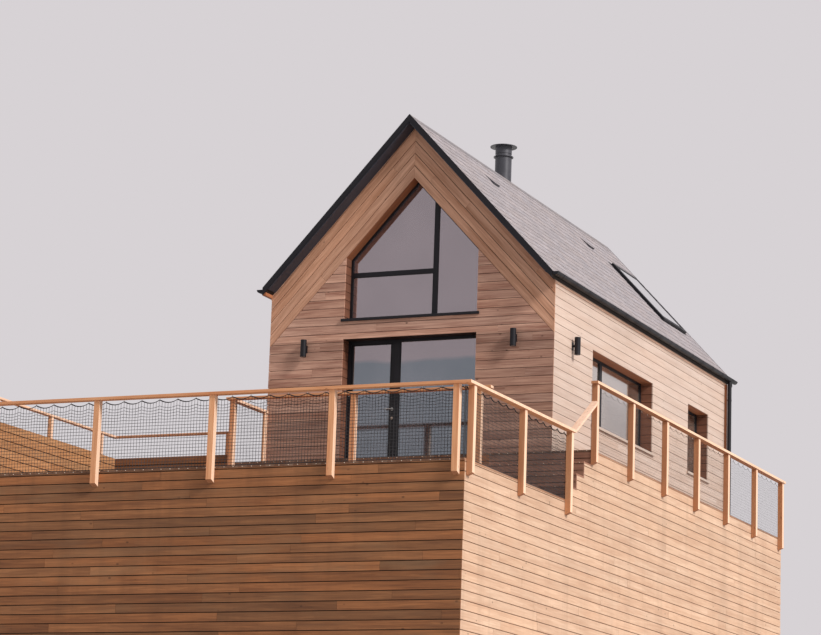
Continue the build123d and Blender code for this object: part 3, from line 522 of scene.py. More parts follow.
class Finish(Enum):
    """Every finish on the lodge."""

    WALL = TimberFinish(
        "wall_boards_larch", tint(203, 185, 173), tint(184, 160, 145), tint(194, 180, 172),
        spread=0.045, weathered=0.3, knots=0.6, warmth=0.12,
    )
    # The front gable's level and slanting boards: the larch in darker, warmer copies, as painted shade.
    SHADED_WALL = TimberFinish(
        "wall_boards_front_painted_shade", tint(224, 181, 158), tint(146, 101, 83), tint(192, 158, 142),
        spread=0.12, weathered=0.3, knots=0.9, warmth=0.25, darkening_and_shade=0.34,
    )
    CHEVRON = TimberFinish(
        "wall_boards_chevron_painted_shade", tint(219, 172, 144), tint(162, 114, 86), tint(192, 156, 134),
        spread=0.09, weathered=0.25, knots=0.9, warmth=0.5,
    )
    # Warm reveal timber: partly its own colour, partly painted warm light bounced from the sunlit boards.
    REVEAL = TimberFinish(
        "reveal_boards_painted_bounce", tint(176, 112, 74), tint(132, 80, 49), tint(146, 106, 80),
        spread=0.08, weathered=0.2, knots=0.4, warmth=0.4,
    )
    # A darker copy of the reveal timber for the jambs: painted shade.
    JAMB = TimberFinish(
        "reveal_boards_painted_shade", tint(126, 79, 57), tint(94, 58, 41), tint(108, 78, 60),
        spread=0.08, weathered=0.2, knots=0.4, warmth=0.4,
    )
    # A near-black copy of the timber for the door's head board: painted deep shade.
    STAINED = TimberFinish(
        "head_board_painted_shade", tint(52, 32, 27), tint(30, 20, 17), tint(54, 44, 38),
        spread=0.1, weathered=0.2, knots=0.2,
    )
    # Weathered, stained skirt timber, darker than the side's: partly painted shade.
    SKIRT = TimberFinish(
        "skirt_boards_weathered_painted_shade", tint(160, 105, 64), tint(106, 64, 34), tint(126, 96, 68),
        spread=0.34, weathered=0.6, knots=0.7, warmth=0.8, streaks=0.4,
    )
    SCREEN = TimberFinish(
        "screen_boards", tint(192, 142, 97), tint(152, 104, 65), tint(172, 136, 102),
        spread=0.12, weathered=0.4, knots=0.6, warmth=0.4,
    )
    # The same skirt timber, paler on the sunlit side: painted sunlight.
    SIDE_SKIRT = TimberFinish(
        "skirt_boards_painted_sunlight", tint(210, 180, 154), tint(182, 146, 120), tint(200, 176, 154),
        spread=0.06, weathered=0.3, knots=0.7, warmth=0.2, streaks=0.4,
    )
    DECK = TimberFinish(
        "deck_boards_ribbed", tint(168, 124, 94), tint(124, 84, 60), tint(160, 140, 122),
        spread=0.3, weathered=0.5, knots=0.5, warmth=0.6,
    )
    RAIL = TimberFinish(
        "rail_timber_orange", tint(220, 164, 120), tint(188, 122, 80), tint(200, 160, 128),
        spread=0.08, weathered=0.2, knots=0.7, warmth=0.3,
    )
    PALE_RAIL = TimberFinish(
        "rail_timber_pale", tint(238, 206, 184), tint(216, 174, 148), tint(226, 196, 176),
        spread=0.05, weathered=0.2, knots=0.5, warmth=0.2,
    )
    FLOOR = TimberFinish(
        "floor_boards_plain", tint(168, 134, 102), tint(124, 92, 66), tint(150, 128, 108),
        spread=0.2, weathered=0.2,
    )
    STAIR = TimberFinish(
        "stair_boards_dark", tint(164, 118, 96), tint(112, 76, 60), tint(140, 118, 102),
        spread=0.2, weathered=0.4, knots=0.4, warmth=0.3,
    )
    SLATE = SlateFinish("slate_grey", tint(164, 155, 156), tint(134, 127, 129))
    RIDGE = SlateFinish("ridge_slate", tint(140, 133, 134), tint(118, 112, 114))
    UNDERLAY = PaintFinish("dark_underlay", tint(34, 26, 22), tint(58, 46, 38), roughness=0.9)
    WARM_UNDERLAY = PaintFinish("warm_underlay", tint(84, 48, 28), tint(110, 68, 42), roughness=0.9)
    DARK = PaintFinish("anthracite_paint", tint(18, 17, 22), tint(35, 33, 40), roughness=0.45, gleam=0.25)
    VERGE = PaintFinish("verge_lining", tint(44, 47, 58), tint(58, 61, 72), roughness=0.5)
    # Pale paint on the fixing heads and the lock, standing for steel that glints in the sun: a painted
    # highlight.
    HEAD = PaintFinish("painted_glint_heads", tint(208, 188, 168), tint(228, 212, 196), roughness=0.35)
    SILL = PaintFinish("sill_pale", tint(186, 166, 152), tint(204, 186, 172), roughness=0.5)
    FLUE = PaintFinish("flue_heat_paint", tint(58, 58, 64), tint(104, 102, 108), roughness=0.38, metallic=0.3)
    LEAD = BrushedFinish(
        "lead_sheet", tint(138, 140, 142), tint(96, 98, 102),
        roughness=0.55, metallic=0.6, stretch=(12.0, 12.0, 12.0),
    )
    STEEL = BrushedFinish("satin_steel", tint(214, 212, 208), tint(168, 166, 162))
    # The front and side panes mirror in another strength and tint above a level than below it: a painted
    # reflection of bright sky above and darker things below.
    GLASS = GlazingFinish(
        "glazing_front", tint(60, 52, 56), tint(84, 76, 80),
        mirror=4.0, tone=(1.0, 0.895, 0.94, 1.0), turn=(5.48, 5.56), low=(3.25, (0.78, 0.90, 1.0, 1.0)),
    )
    BRIGHT_GLASS = GlazingFinish(
        "glazing_side", tint(96, 86, 80), tint(140, 126, 116),
        mirror=11.0, tone=(1.0, 0.95, 0.91, 1.0), turn=(4.9, 5.3), low=(7.0, (1.0, 0.95, 0.92, 1.0)),
    )
    ROOF_GLASS = GlazingFinish(
        "glazing_roof", tint(104, 104, 108), tint(130, 128, 130),
        mirror=36.0, tone=(1.0, 1.0, 1.0, 1.0), turn=(4.9, 4.98), low=(36.0, (1.0, 1.0, 1.0, 1.0)),
        alpha=0.98,
    )
    TWINE = TwineFinish("net_twine_black", tint(22, 22, 25), tint(52, 50, 52))
    RUBBER = PaintFinish("glazing_gasket", tint(20, 20, 21), tint(52, 50, 49), roughness=0.7)

    def material(self) -> bpy.types.Material:
        """The finish's material, made the first time that it is asked for."""
        return bpy.data.materials.get(self.value.name) or self.value.build()


# Pieces and the ways to make them


class Shape:
    """A bmesh in the making, whose vertices remember their place on their own board."""

    def __init__(self, seed: int, mesh: bpy.types.Mesh | None = None) -> None:
        """Starts a shape with its own stream of random numbers.

        Args:
            seed: The seed of that stream.
            mesh: The mesh that it starts from. Without one it starts empty.
        """
        self.bm = bmesh.new()
        if mesh is not None:
            self.bm.from_mesh(mesh)
        self.grain = self.bm.verts.layers.float_vector.new("grain")
        self.shade = self.bm.verts.layers.float_vector.new("shade")
        self.rng = random.Random(seed)

    def draw_shade(self) -> Vector:
        """A fresh tone, warmth and chance for one board."""
        return Vector([self.rng.random() for _ in range(3)])

    def draw_offset(self) -> Vector:
        """A place in the timber for one board to be cut from."""
        return Vector([self.rng.uniform(0, STOCK) for _ in range(3)])

    def block(self, axes: Matrix, centre: Vector, size: Vector, shade: Vector, offset: Vector) -> None:
        """Adds one board.

        Args:
            axes: The board's length, width and thickness as the columns of a turn.
            centre: Its middle.
            size: Its length, width and thickness.
            shade: Its tone, warmth and chance.
            offset: Where in the timber its grain starts.
        """
        turn = axes.to_4x4()
        stretch = Matrix.Diagonal((size.x, size.y, size.z, 1.0))
        made = bmesh.ops.create_cube(self.bm, size=1.0, matrix=Matrix.Translation(centre) @ turn @ stretch)
        back = axes.transposed()
        for vertex in made["verts"]:
            vertex[self.grain] = back @ (vertex.co - centre) + offset
            vertex[self.shade] = shade

    def clip(self, point: Vector, normal: Vector) -> None:
        """Cuts away what lies on the side of a plane that its normal points to, and closes the cuts.

        Args:
            point: A point on the plane.
            normal: The way to the side that goes.
        """
        geometry = self.bm.verts[:] + self.bm.edges[:] + self.bm.faces[:]
        cut = bmesh.ops.bisect_plane(
            self.bm, geom=geometry, dist=1e-6, plane_co=point, plane_no=normal, clear_outer=True
        )
        edges = [item for item in cut["geom_cut"] if isinstance(item, bmesh.types.BMEdge)]
        bmesh.ops.holes_fill(self.bm, edges=edges, sides=0)

    def half_turn(self, centre: Vector) -> None:
        """Turns everything by half a turn about an upright line."""
        turn = Matrix.Rotation(math.pi, 3, "Z")
        bmesh.ops.rotate(self.bm, verts=self.bm.verts, cent=centre, matrix=turn)

    def piece(self, name: str, finish: Finish, slot: str, body: str = "lodge") -> bpy.types.Object:
        """Turns the shape into a finished object that rides a body.

        Args:
            name: The object's name.
            finish: Its finish.
            slot: The record's material slot; not used.
            body: The CAD body that it moves with.

        Returns:
            The object.
        """
        bmesh.ops.recalc_face_normals(self.bm, faces=self.bm.faces)
        mesh = bpy.data.meshes.new(name)
        self.bm.to_mesh(mesh)
        self.bm.free()
        return settle(name, mesh, finish, body)


def settle(name: str, mesh: bpy.types.Mesh, finish: Finish, body: str) -> bpy.types.Object:
    """Links a mesh as a piece with its finish and body.

    Args:
        name: The object's name.
        mesh: Its mesh.
        finish: Its finish.
        body: The CAD body that it moves with.

    Returns:
        The object.
    """
    made = bpy.data.objects.new(name, mesh)
    bpy.context.scene.collection.objects.link(made)
    mesh.materials.append(finish.material())
    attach(made, body)
    log.info("%s: %d faces", name, len(mesh.polygons))
    return made


def ease(piece: bpy.types.Object, width: float, segments: int = 2) -> None:
    """Rounds a piece's sharp edges a little.

    Args:
        piece: The piece.
        width: How much is taken off.
        segments: How many flats round it.
    """
    bevel = piece.modifiers.new("eased_edges", "BEVEL")
    bevel.width = width
    bevel.segments = segments
    bevel.limit_method = "ANGLE"
    bevel.angle_limit = math.radians(35)


def paint(node: str, finish: Finish) -> None:
    """Gives a CAD node its finish."""
    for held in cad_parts[node].material_slots:
        held.material = finish.material()


def copy_node(node: str, seed: int) -> Shape:
    """A shape that starts as a CAD node's own mesh, merged.

    Args:
        node: The CAD node.
        seed: The seed of its random numbers.

    Returns:
        The shape.
    """
    shape = Shape(seed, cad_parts[node].data)
    bmesh.ops.remove_doubles(shape.bm, verts=shape.bm.verts, dist=MERGE)
    flat = math.radians(0.5)
    bmesh.ops.dissolve_limit(shape.bm, angle_limit=flat, verts=shape.bm.verts, edges=shape.bm.edges)
    return shape


def inside(point: Vector, low: Vector, high: Vector) -> bool:
    """Whether a point lies in a box, or only a hair outside it."""
    return all(low[i] - TOUCH < point[i] < high[i] + TOUCH for i in range(3))


@dataclass(frozen=True)
class Plane:
    """An upright or level plane: an axis number, a place on it, and the way out of the timber."""

    axis: int
    place: float
    out: int


def core_of(
    node: str, planes: list[Plane], depth: float, slot: str, finish: Finish = Finish.UNDERLAY
) -> bpy.types.Object:
    """The dark body behind a boarded face: the CAD node with its boarded planes set back.

    Args:
        node: The CAD node, which this piece stands for.
        planes: Where its boarded faces lie.
        depth: How far they are set back.
        slot: The record's material slot.
        finish: What shows in the gaps between the boards.

    Returns:
        The piece.
    """
    shape = copy_node(node, 1)
    for vertex in shape.bm.verts:
        for plane in planes:
            if abs(vertex.co[plane.axis] - plane.place) < TOUCH:
                vertex.co[plane.axis] -= plane.out * depth
    made = shape.piece(node + "_core", finish, slot)
    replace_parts(made, node)
    return made


@dataclass(frozen=True)
class Span:
    """A rectangle on a boarded face, from start to end along it and from low to high across it."""

    start: float
    end: float
    low: float
    high: float


@dataclass
class Boarding:
    """Boards laid side by side on a flat face, flush with it, with random butt joints."""

    origin: Vector
    along: Vector
    across: Vector
    length: float
    height: float
    pitch: float
    gap: float
    thickness: float = 0.02
    lengths: tuple[float, float] = (2.4, 4.2)
    first: float = 0.0
    holes: list[Span] = field(default_factory=list)
    joint: float = 0.002
    unevenness: float = 0.0012

    def rows(self) -> list[tuple[float, float]]:
        """Each row's lower and upper edge, inside the face.

        Returns:
            The two edges of each row, from the lowest up.
        """
        found = []
        low = self.first - math.ceil(self.first / self.pitch) * self.pitch
        while low < self.height:
            bottom, top = max(low, 0.0), min(low + self.pitch - self.gap, self.height)
            if top - bottom > SLIVER:
                found.append((bottom, top))
            low += self.pitch
        return found

    def free(self, start: float, end: float, level: float) -> list[tuple[float, float]]:
        """The stretches of a row that no hole takes, at one level.

        Args:
            start: Where the row starts.
            end: Where it ends.
            level: How high across the face.

        Returns:
            The start and end of each stretch.
        """
        stretches = [(start, end)]
        for hole in self.holes:
            if not hole.low < level < hole.high:
                continue
            left = [(a, min(b, hole.start)) for a, b in stretches]
            right = [(max(a, hole.end), b) for a, b in stretches]
            stretches = [(a, b) for a, b in left + right if b - a > SLIVER]
        return stretches

    def lay(self, shape: Shape) -> None:
        """Adds every board to a shape.

        Args:
            shape: The shape that they join.
        """
        for bottom, top in self.rows():
            start = -shape.rng.uniform(0.0, self.lengths[1])
            edges = {hole.low for hole in self.holes} | {hole.high for hole in self.holes}
            levels = sorted({bottom, top} | {edge for edge in edges if bottom < edge < top})
            while start < self.length:
                end = start + shape.rng.uniform(*self.lengths)
                shade, offset = shape.draw_shade(), shape.draw_offset()
                sunk = shape.rng.uniform(0.0, self.unevenness)
                left, right = max(start, 0.0), min(end - self.joint, self.length)
                for low, high in zip(levels, levels[1:]):
                    for a, b in self.free(left, right, (low + high) / 2) if right > left else []:
                        self.board(shape, Span(a, b, low, high), sunk, shade, offset)
                start = end

    def board(self, shape: Shape, span: Span, sunk: float, shade: Vector, offset: Vector) -> None:
        """Adds one board that covers a span, a hair below the face.

        Args:
            shape: The shape that it joins.
            span: What it covers.
            sunk: How far below the face.
            shade: Its tone, warmth and chance.
            offset: Where in the timber its grain starts.
        """
        axes = turned(self.along, self.across)
        length, width = (span.start + span.end) / 2, (span.low + span.high) / 2
        middle = self.origin + self.along * length + self.across * width
        centre = middle - axes.col[2] * (self.thickness / 2 + sunk)
        size = Vector((span.end - span.start, span.high - span.low, self.thickness))
        shape.block(axes, centre, size, shade, offset + Vector((length, width, 0.0)))


def turned(along: Vector, across: Vector) -> Matrix:
    """The turn whose columns are a length, a width and the way out from both."""
    return Matrix((along, across, along.cross(across))).transposed()


def add_disc(
    shape: Shape, centre: Vector, facing: Vector, radius: float, depth: float, sides: int = 8
) -> None:
    """Adds a small closed disc or rod.

    Args:
        shape: The shape that it joins.
        centre: The middle of the disc.
        facing: The way that its flat faces look.
        radius: Its radius, a little less on the far face.
        depth: Its thickness.
        sides: How many sides stand for its rim.
    """
    taper = 0.92
    place = Matrix.Translation(centre) @ facing.to_track_quat("Z", "Y").to_matrix().to_4x4()
    bmesh.ops.create_cone(
        shape.bm, cap_ends=True, segments=sides, radius1=radius, radius2=radius * taper, depth=depth,
        matrix=place,
    )


def add_ring(
    shape: Shape, centre: Vector, axis: Vector, start: Vector, radius: float, section: tuple[float, float],
    sweep: float = math.tau, steps: int = 16,
) -> None:
    """Adds a flat band bent round an axis.

    Args:
        shape: The shape that it joins.
        centre: A point on the axis, in the middle of the band's width.
        axis: The axis of the bend.
        start: The way from the axis to the band's first end.
        radius: The band's middle radius.
        section: Its thickness and its width.
        sweep: How far round it goes.
        steps: How many flats stand for that.
    """
    thick, wide = section
    bm = shape.bm
    verts = [
        bm.verts.new(centre + start * (radius + a * thick / 2) + axis * (b * wide / 2))
        for a, b in ((-1, -1), (1, -1), (1, 1), (-1, 1))
    ]
    edges = [bm.edges.new((verts[i], verts[(i + 1) % 4])) for i in range(4)]
    full = sweep > math.tau - 1e-6
    bmesh.ops.spin(
        bm, geom=verts + edges, cent=centre, axis=axis, dvec=(0, 0, 0), angle=sweep, steps=steps,
        use_merge=full,
    )
    if not full:
        bmesh.ops.holes_fill(bm, edges=[edge for edge in bm.edges if edge.is_boundary], sides=4)


def add_tube(shape: Shape, points: list[Vector], radius: float, sides: int = 6) -> None:
    """Adds a rope or wire along points, closed at both ends.

    Args:
        shape: The shape that it joins.
        points: Where it runs.
        radius: Its radius.
        sides: How many sides stand for its round.
    """
    bm = shape.bm
    heading = (points[1] - points[0]).normalized()
    place = Matrix.Translation(points[0]) @ heading.to_track_quat("Z", "Y").to_matrix().to_4x4()
    ring = bmesh.ops.create_circle(bm, cap_ends=True, segments=sides, radius=radius, matrix=place)["verts"]
    edges = list(dict.fromkeys(edge for vertex in ring for edge in vertex.link_edges))
    for before, after in zip(points, points[1:]):
        grown = bmesh.ops.extrude_edge_only(bm, edges=edges)["geom"]
        edges = [item for item in grown if isinstance(item, bmesh.types.BMEdge) and item.is_boundary]
        ring = [item for item in grown if isinstance(item, bmesh.types.BMVert)]
        bmesh.ops.translate(bm, verts=ring, vec=after - before)
    bmesh.ops.holes_fill(bm, edges=edges, sides=sides)


def loose_boxes(node: str) -> list[tuple[Vector, Vector]]:
    """The lowest and highest corner of every loose part of a CAD node, in a settled order.

    Args:
        node: The CAD node.

    Returns:
        The two corners of each part.
    """
    bm = bmesh.new()
    bm.from_mesh(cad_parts[node].data)
    bmesh.ops.remove_doubles(bm, verts=bm.verts, dist=MERGE)
    bm.verts.index_update()
    waiting, boxes = set(bm.verts), []
    while waiting:
        part, front = set(), [min(waiting, key=lambda v: v.index)]
        while front:
            vertex = front.pop()
            if vertex not in part:
                part.add(vertex)
                front.extend(edge.other_vert(vertex) for edge in vertex.link_edges)
        waiting -= part
        low = Vector([min(v.co[i] for v in part) for i in range(3)])
        boxes.append((low, Vector([max(v.co[i] for v in part) for i in range(3)])))
    bm.free()
    return boxes


def timber_copy(node: str, finish: Finish, slot: str, width: float = 0.003) -> bpy.types.Object:
    """A CAD node's timbers with grain along each one's length and eased edges, in the node's place.

    Args:
        node: The CAD node, which this piece stands for.
        finish: Its finish.
        slot: The record's material slot.
        width: How much its edges are eased.

    Returns:
        The piece.
    """
    shape = copy_node(node, len(node))
    for low, high in loose_boxes(node):
        reach = high - low
        longest = max(range(3), key=lambda i: reach[i])
        along = Vector([1.0 if i == longest else 0.0 for i in range(3)])
        across = Vector([1.0 if i == (longest + 1) % 3 else 0.0 for i in range(3)])
        back = turned(along, across).transposed()
        shade, offset = shape.draw_shade(), shape.draw_offset()
        for vertex in shape.bm.verts:
            if inside(vertex.co, low, high):
                vertex[shape.grain] = back @ vertex.co + offset
                vertex[shape.shade] = shade
    made = shape.piece(node + "_timber", finish, slot)
    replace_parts(made, node)
    # Rails get painted sunlight and painted shade on their faces.
    if finish is Finish.RAIL:
        PaintedLight().paint_sun_and_shade(made)
    ease(made, width)
    return made


@dataclass(frozen=True)
class PaintedLight:
    """Where sunlight and shade are painted on rails and boards, and by what share."""

    sunlit_top: float = 0.5
    walkway_x: float = 4.1
    walkway_y: float = -2.9
    walkway_shade: float = 0.7
    edge_x: float = 4.3
    edge_shade: float = 0.4
    underside: float = 1.2
    foot: float = -0.3

    def paint_sun_and_shade(self, made: bpy.types.Object) -> None:
        """Marks a rail's faces for painted sunlight, those that look right and up, and for painted shade,
        those that look to the front and down on the walkway and the right edge, and the posts' feet.

        Args:
            made: The rail or the posts.
        """
        sunny = made.data.attributes.new("sunny", "FLOAT", "FACE")
        soiled = made.data.attributes.new("soiled", "FLOAT", "FACE")
        for face in made.data.polygons:
            way, place = face.normal, face.center
            sunny.data[face.index].value = max(0.0, way.x) + self.sunlit_top * max(0.0, way.z)
            walkway = place.x > self.walkway_x and place.y > self.walkway_y
            share = self.walkway_shade if walkway else self.edge_shade if place.x > self.edge_x else 0.0
            shaded = max(0.0, -way.y) + self.underside * max(0.0, -way.z)
            foot = "posts" in made.name and way.z < self.foot
            soiled.data[face.index].value = 1.0 if foot else share * shaded

    def shade_ends(self, made: bpy.types.Object) -> None:
        """Marks the ends of boards that run from front to back for painted shade, which darkens the decks'
        front edges.

        Args:
            made: The boards.
        """
        soiled = made.data.attributes.new("soiled", "FLOAT", "FACE")
        for face in made.data.polygons:
            soiled.data[face.index].value = max(0.0, abs(face.normal.y) - 0.5) * 2


# The lodge


@dataclass
class House:
    """The planes and openings of the house that its cladding, roof and windows all share."""

    left: float = -2.095
    right: float = 3.175
    front: float = -1.633
    rear: float = 7.887
    terrace: float = 3.52
    boundary: float = 8.5927
    shoulder: float = 7.2544
    wall_apex: float = 9.5072
    ridge: float = 9.6251
    eaves_reach: float = 2.678
    overhang: float = 0.28
    lining: float = 0.022
    reveal: float = 0.23
    board: float = 0.0205
    sill: float = 0.03
    door_under: float = 4.0
    gable_over: float = 8.0

    @property
    def centre(self) -> float:
        """The ridge's line."""
        return (self.left + self.right) / 2

    @property
    def middle(self) -> Vector:
        """The middle of the house's plan."""
        return Vector((self.centre, (self.front + self.rear) / 2, 0.0))

    @property
    def wall_top(self) -> float:
        """Where the side walls end under the eaves."""
        return self.wall_apex - SLOPE * (self.right - self.centre)

    @property
    def roof_length(self) -> float:
        """From one verge to the other."""
        return self.rear - self.front + 2 * self.overhang

    def facing(self, low: Vector, high: Vector) -> Vector:
        """The way out of the wall that holds an opening.

        Args:
            low: The opening's lowest corner.
            high: Its highest corner.

        Returns:
            The way out.
        """
        if high.x - low.x > high.y - low.y:
            return BACK if high.y > self.middle.y else -BACK
        return RIGHT if high.x > self.middle.x else -RIGHT

    def openings(self, way: Vector, bottom: float, inset: float = 0.0) -> list[Span]:
        """The openings in one wall's boards.

        Args:
            way: The way out of the wall.
            bottom: The level at which the boards start.
            inset: How far from the wall's left end they start, as seen from outside.

        Returns:
            The openings from left to right, inside their linings. The gable window's is open at the top,
            where the slanting boards end.
        """
        along = UP.cross(way)
        corners = (Vector((self.left, self.front, 0.0)), Vector((self.right, self.rear, 0.0)))
        begin = min(corner.dot(along) for corner in corners)
        spans = []
        for low, high in loose_boxes("window_linings"):
            if self.facing(low, high) == way:
                ends = sorted((low.dot(along), high.dot(along)))
                start, end = ends[0] + self.lining - begin, ends[1] - self.lining - begin
                foot = low.z if low.z < self.door_under else low.z - self.sill
                top = BEYOND if high.z > self.gable_over else round(high.z - self.lining, 4)
                start, end, foot = round(start, 4), round(end, 4), round(foot, 4)
                spans.append(Span(start - inset, end - inset, foot - bottom, top - bottom))
        return sorted(spans, key=astuple)


@dataclass
class Cladding:
    """Larch boards on all four walls: level ones, and slanting ones along the gables' verges."""

    house: House
    pitch: float = 0.15
    gap: float = 0.009
    backing: float = 0.02
    lengths: tuple[float, float] = (3.6, 5.4)
    slant_lengths: tuple[float, float] = (4.7, 5.4)
    slant_squeeze: float = 0.001
    slant_over: float = 0.72
    slant_down: float = 3.95
    mitre: float = 0.0006
    corner_inset: float = 0.022
    corner_width: float = 0.068
    corner_depth: float = 0.036
    whole: tuple[float, float] = (9.0, 10.0)
    play: float = 0.002
    under_eaves: float = 0.05

    def build(self) -> None:
        """Boards every wall."""
        self.cores()
        self.gable("front")
        self.gable("rear")
        self.side_walls()
        self.corner_board()
        self.reveals()

    def cores(self) -> None:
        """Sets the CAD walls back behind their boards."""
        h = self.house
        sides = [Plane(0, h.right, 1), Plane(0, h.left, -1)]
        front, rear = Plane(1, h.front, -1), Plane(1, h.rear, 1)
        for node, planes in {
            "front_wall_sides": [front, *sides],
            "front_wall_middle": [front],
            "rear_wall_sides": [rear, *sides],
            "rear_wall_middle": [rear],
            "side_walls_lower": sides,
            "right_wall_upper": sides,
            "left_wall_upper": sides,
        }.items():
            finish = Finish.UNDERLAY if "front" in node or "rear" in node else Finish.WARM_UNDERLAY
            core_of(node, planes, self.backing, "wall_boards", finish)

    def gable(self, name: str) -> None:
        """Boards a gable wall: level boards, then slanting ones under each verge.

        Args:
            name: The front one, or the rear one, which is boarded like the front and turned round.
        """
        h, rear = self.house, name == "rear"
        bottom = 0.0 if rear else h.terrace
        level = Shape(11 + rear)
        rows = Boarding(
            Vector((h.left, h.front, bottom)), RIGHT, UP, h.right - h.left, h.boundary - bottom, self.pitch,
            self.gap, lengths=self.lengths, first=(h.terrace - bottom) % self.pitch,
            holes=h.openings(BACK if rear else -BACK, bottom),
        )
        rows.lay(level)
        apex = Vector((h.centre, h.front, h.boundary - self.gap))
        for side in (-1, 1):
            level.clip(apex, Vector((side * math.sin(PITCH), 0, math.cos(PITCH))))
        right, left = self.slanting(1, rear), self.slanting(-1, rear)
        pieces = {"boards": level, "slanting_right": right, "slanting_left": left}
        for word, shape in pieces.items():
            # The front's boards take the copies with painted shade; the rear's take the plain larch.
            finish = Finish.SHADED_WALL if word == "boards" else Finish.CHEVRON
            if rear:
                shape.half_turn(h.middle)
                finish = Finish.WALL
            shape.piece(f"{name}_gable_{word}", finish, "wall_boards")

    def slanting(self, side: int, rear: bool) -> Shape:
        """The boards along one verge, mitred on the ridge's line.

        Args:
            side: 1 for the right verge, -1 for the left.
            rear: Whether the rear gable's.

        Returns:
            The boards, still on the front gable.
        """
        h = self.house
        shape = Shape(21 + rear + 2 * side)
        along = Vector((math.cos(PITCH), 0, -side * math.sin(PITCH)))
        across = Vector((side * math.sin(PITCH), 0, math.cos(PITCH)))
        corner = Vector((h.centre, h.front, h.boundary))
        begin = corner - along * (self.slant_over if side > 0 else self.slant_down)
        band = (h.wall_apex - h.boundary) * math.cos(PITCH)
        Boarding(
            begin, along, across, self.slant_over + self.slant_down, band, self.pitch - self.slant_squeeze,
            self.gap, lengths=self.slant_lengths,
        ).lay(shape)
        shape.clip(corner + RIGHT * side * self.mitre, Vector((-side, 0, 0)))
        edge = h.right if side > 0 else h.left
        shape.clip(Vector((edge, 0, 0)), Vector((side, 0, 0)))
        return shape

    def side_walls(self) -> None:
        """Boards the two long walls between the gables' corner boards."""
        h, inset = self.house, self.corner_inset
        length = h.rear - h.front - 2 * inset
        for name, start, way in (
            ("right", Vector((h.right, h.front + inset, h.terrace)), RIGHT),
            ("left", Vector((h.left, h.rear - inset, 0.0)), -RIGHT),
        ):
            bottom = h.terrace if way == RIGHT else 0.0
            shape = Shape(31)
            Boarding(
                start, UP.cross(way), UP, length, h.wall_top - bottom, self.pitch, self.gap,
                lengths=self.lengths, first=(h.terrace - bottom) % self.pitch,
                holes=h.openings(way, bottom, inset),
            ).lay(shape)
            shape.piece(name + "_wall_boards", Finish.WALL, "wall_boards")

    def corner_board(self) -> None:
        """The upright board on the right wall's rear corner."""
        h, corner = self.house, Shape(35)
        low, high = h.terrace + self.play, h.wall_top - self.under_eaves
        out, back = (self.corner_depth + self.play) / 2, self.corner_width / 2 + self.play
        centre = Vector((h.right + out, h.rear - back, (low + high) / 2))
        size = Vector((high - low, self.corner_width, self.corner_depth))
        corner.block(turned(UP, BACK), centre, size, corner.draw_shade(), corner.draw_offset())
        corner.piece("rear_corner_board", Finish.REVEAL, "wall_boards")

    def jamb(self, shape: Shape, corner: Vector, along: Vector, low: float, high: float) -> None:
        """Lines one side of an opening with short boards whose joints meet the wall's.

        Args:
            shape: The shape that they join.
            corner: Where they start.
            along: The way they run.
            low: The opening's foot.
            high: Its top.
        """
        h = self.house
        Boarding(
            Vector((corner.x, corner.y, low)), along, UP, h.reveal - h.board, high - low, self.pitch,
            self.gap, h.lining, self.whole, (h.terrace - low) % self.pitch,
        ).lay(shape)

    def reveals(self) -> None:
        """Lines every window and door opening."""
        h = self.house
        shape, head, jambs = Shape(41), Shape(42), Shape(43)
        for low, high in loose_boxes("window_linings"):
            way = h.facing(low, high)
            wide, deep = (0, 1) if abs(way.y) > 0.5 else (1, 0)
            near, far = high[deep] - h.board, low[deep]
            if way[deep] < 0:
                near, far = low[deep] + h.board, high[deep]
            ends = (low[wide] + h.lining, high[wide] - h.lining)
            if UP.cross(way)[wide] < 0:
                ends = ends[::-1]
            gable = high.z > h.gable_over
            for place, depth, along in zip(ends, (near, far), (-way, way)):
                corner = Vector()
                corner[wide], corner[deep] = place, depth
                self.jamb(jambs, corner, along, low.z, h.shoulder if gable else high.z)
            middle = (low + high) / 2
            middle[deep] = (near + far) / 2
            if gable:
                self.gable_linings(shape, middle.y, (high.x - low.x) / 2 - h.lining)
            else:
                middle.z = high.z - h.lining / 2
                run = high[wide] - low[wide] - 2 * h.lining - self.play
                axes = turned(RIGHT, BACK) if wide == 0 else turned(BACK, -RIGHT)
                size = Vector((run, h.reveal - h.board, h.lining))
                # The door's head board takes the painted deep shade.
                board = head if low.z < h.door_under else shape
                board.block(axes, middle, size, shape.draw_shade(), shape.draw_offset())
        head.piece("door_head_board", Finish.STAINED, "rail_timber")
        jambs.piece("jamb_boards", Finish.JAMB, "rail_timber")
        made = shape.piece("reveal_boards", Finish.REVEAL, "rail_timber")
        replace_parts(made, "window_linings")

    def gable_linings(self, shape: Shape, depth: float, half: float) -> None:
        """The two slanting boards over the gable window.

        Args:
            shape: The shape that they join.
            depth: Where their middle lies, front to back.
            half: Half the opening's width.
        """
        h = self.house
        run = half / math.cos(PITCH)
        for side in (-1, 1):
            along = Vector((side * math.cos(PITCH), 0, -math.sin(PITCH)))
            out = Vector((side * math.sin(PITCH), 0, math.cos(PITCH)))
            centre = Vector((h.centre, depth, h.boundary)) + along * run / 2 + out * h.lining / 2
            size = Vector((run, h.reveal - h.board, h.lining))
            axes = turned(along, out.cross(along))
            shape.block(axes, centre, size, shape.draw_shade(), shape.draw_offset())


@dataclass(frozen=True)
class Site:
    """The planes and levels that the decks, their skirts and the stair share."""

    left: float = -4.445
    right: float = 4.325
    front: float = -8.063
    rear: float = 7.887
    terrace_front: float = -2.873
    terrace_left: float = -2.125
    lower: float = 2.56
    upper: float = 3.52
    board: float = 0.028
    skirt: float = 0.12
    first_riser: float = -3.82
    going: float = 0.325
    rise: float = 0.24
    steps: int = 3

    @property
    def inner(self) -> float:
        """The screen wall's inner face."""
        return self.left + self.skirt

    @property
    def back(self) -> float:
        """The rear face of the wall beside the terrace."""
        return self.terrace_front + self.skirt


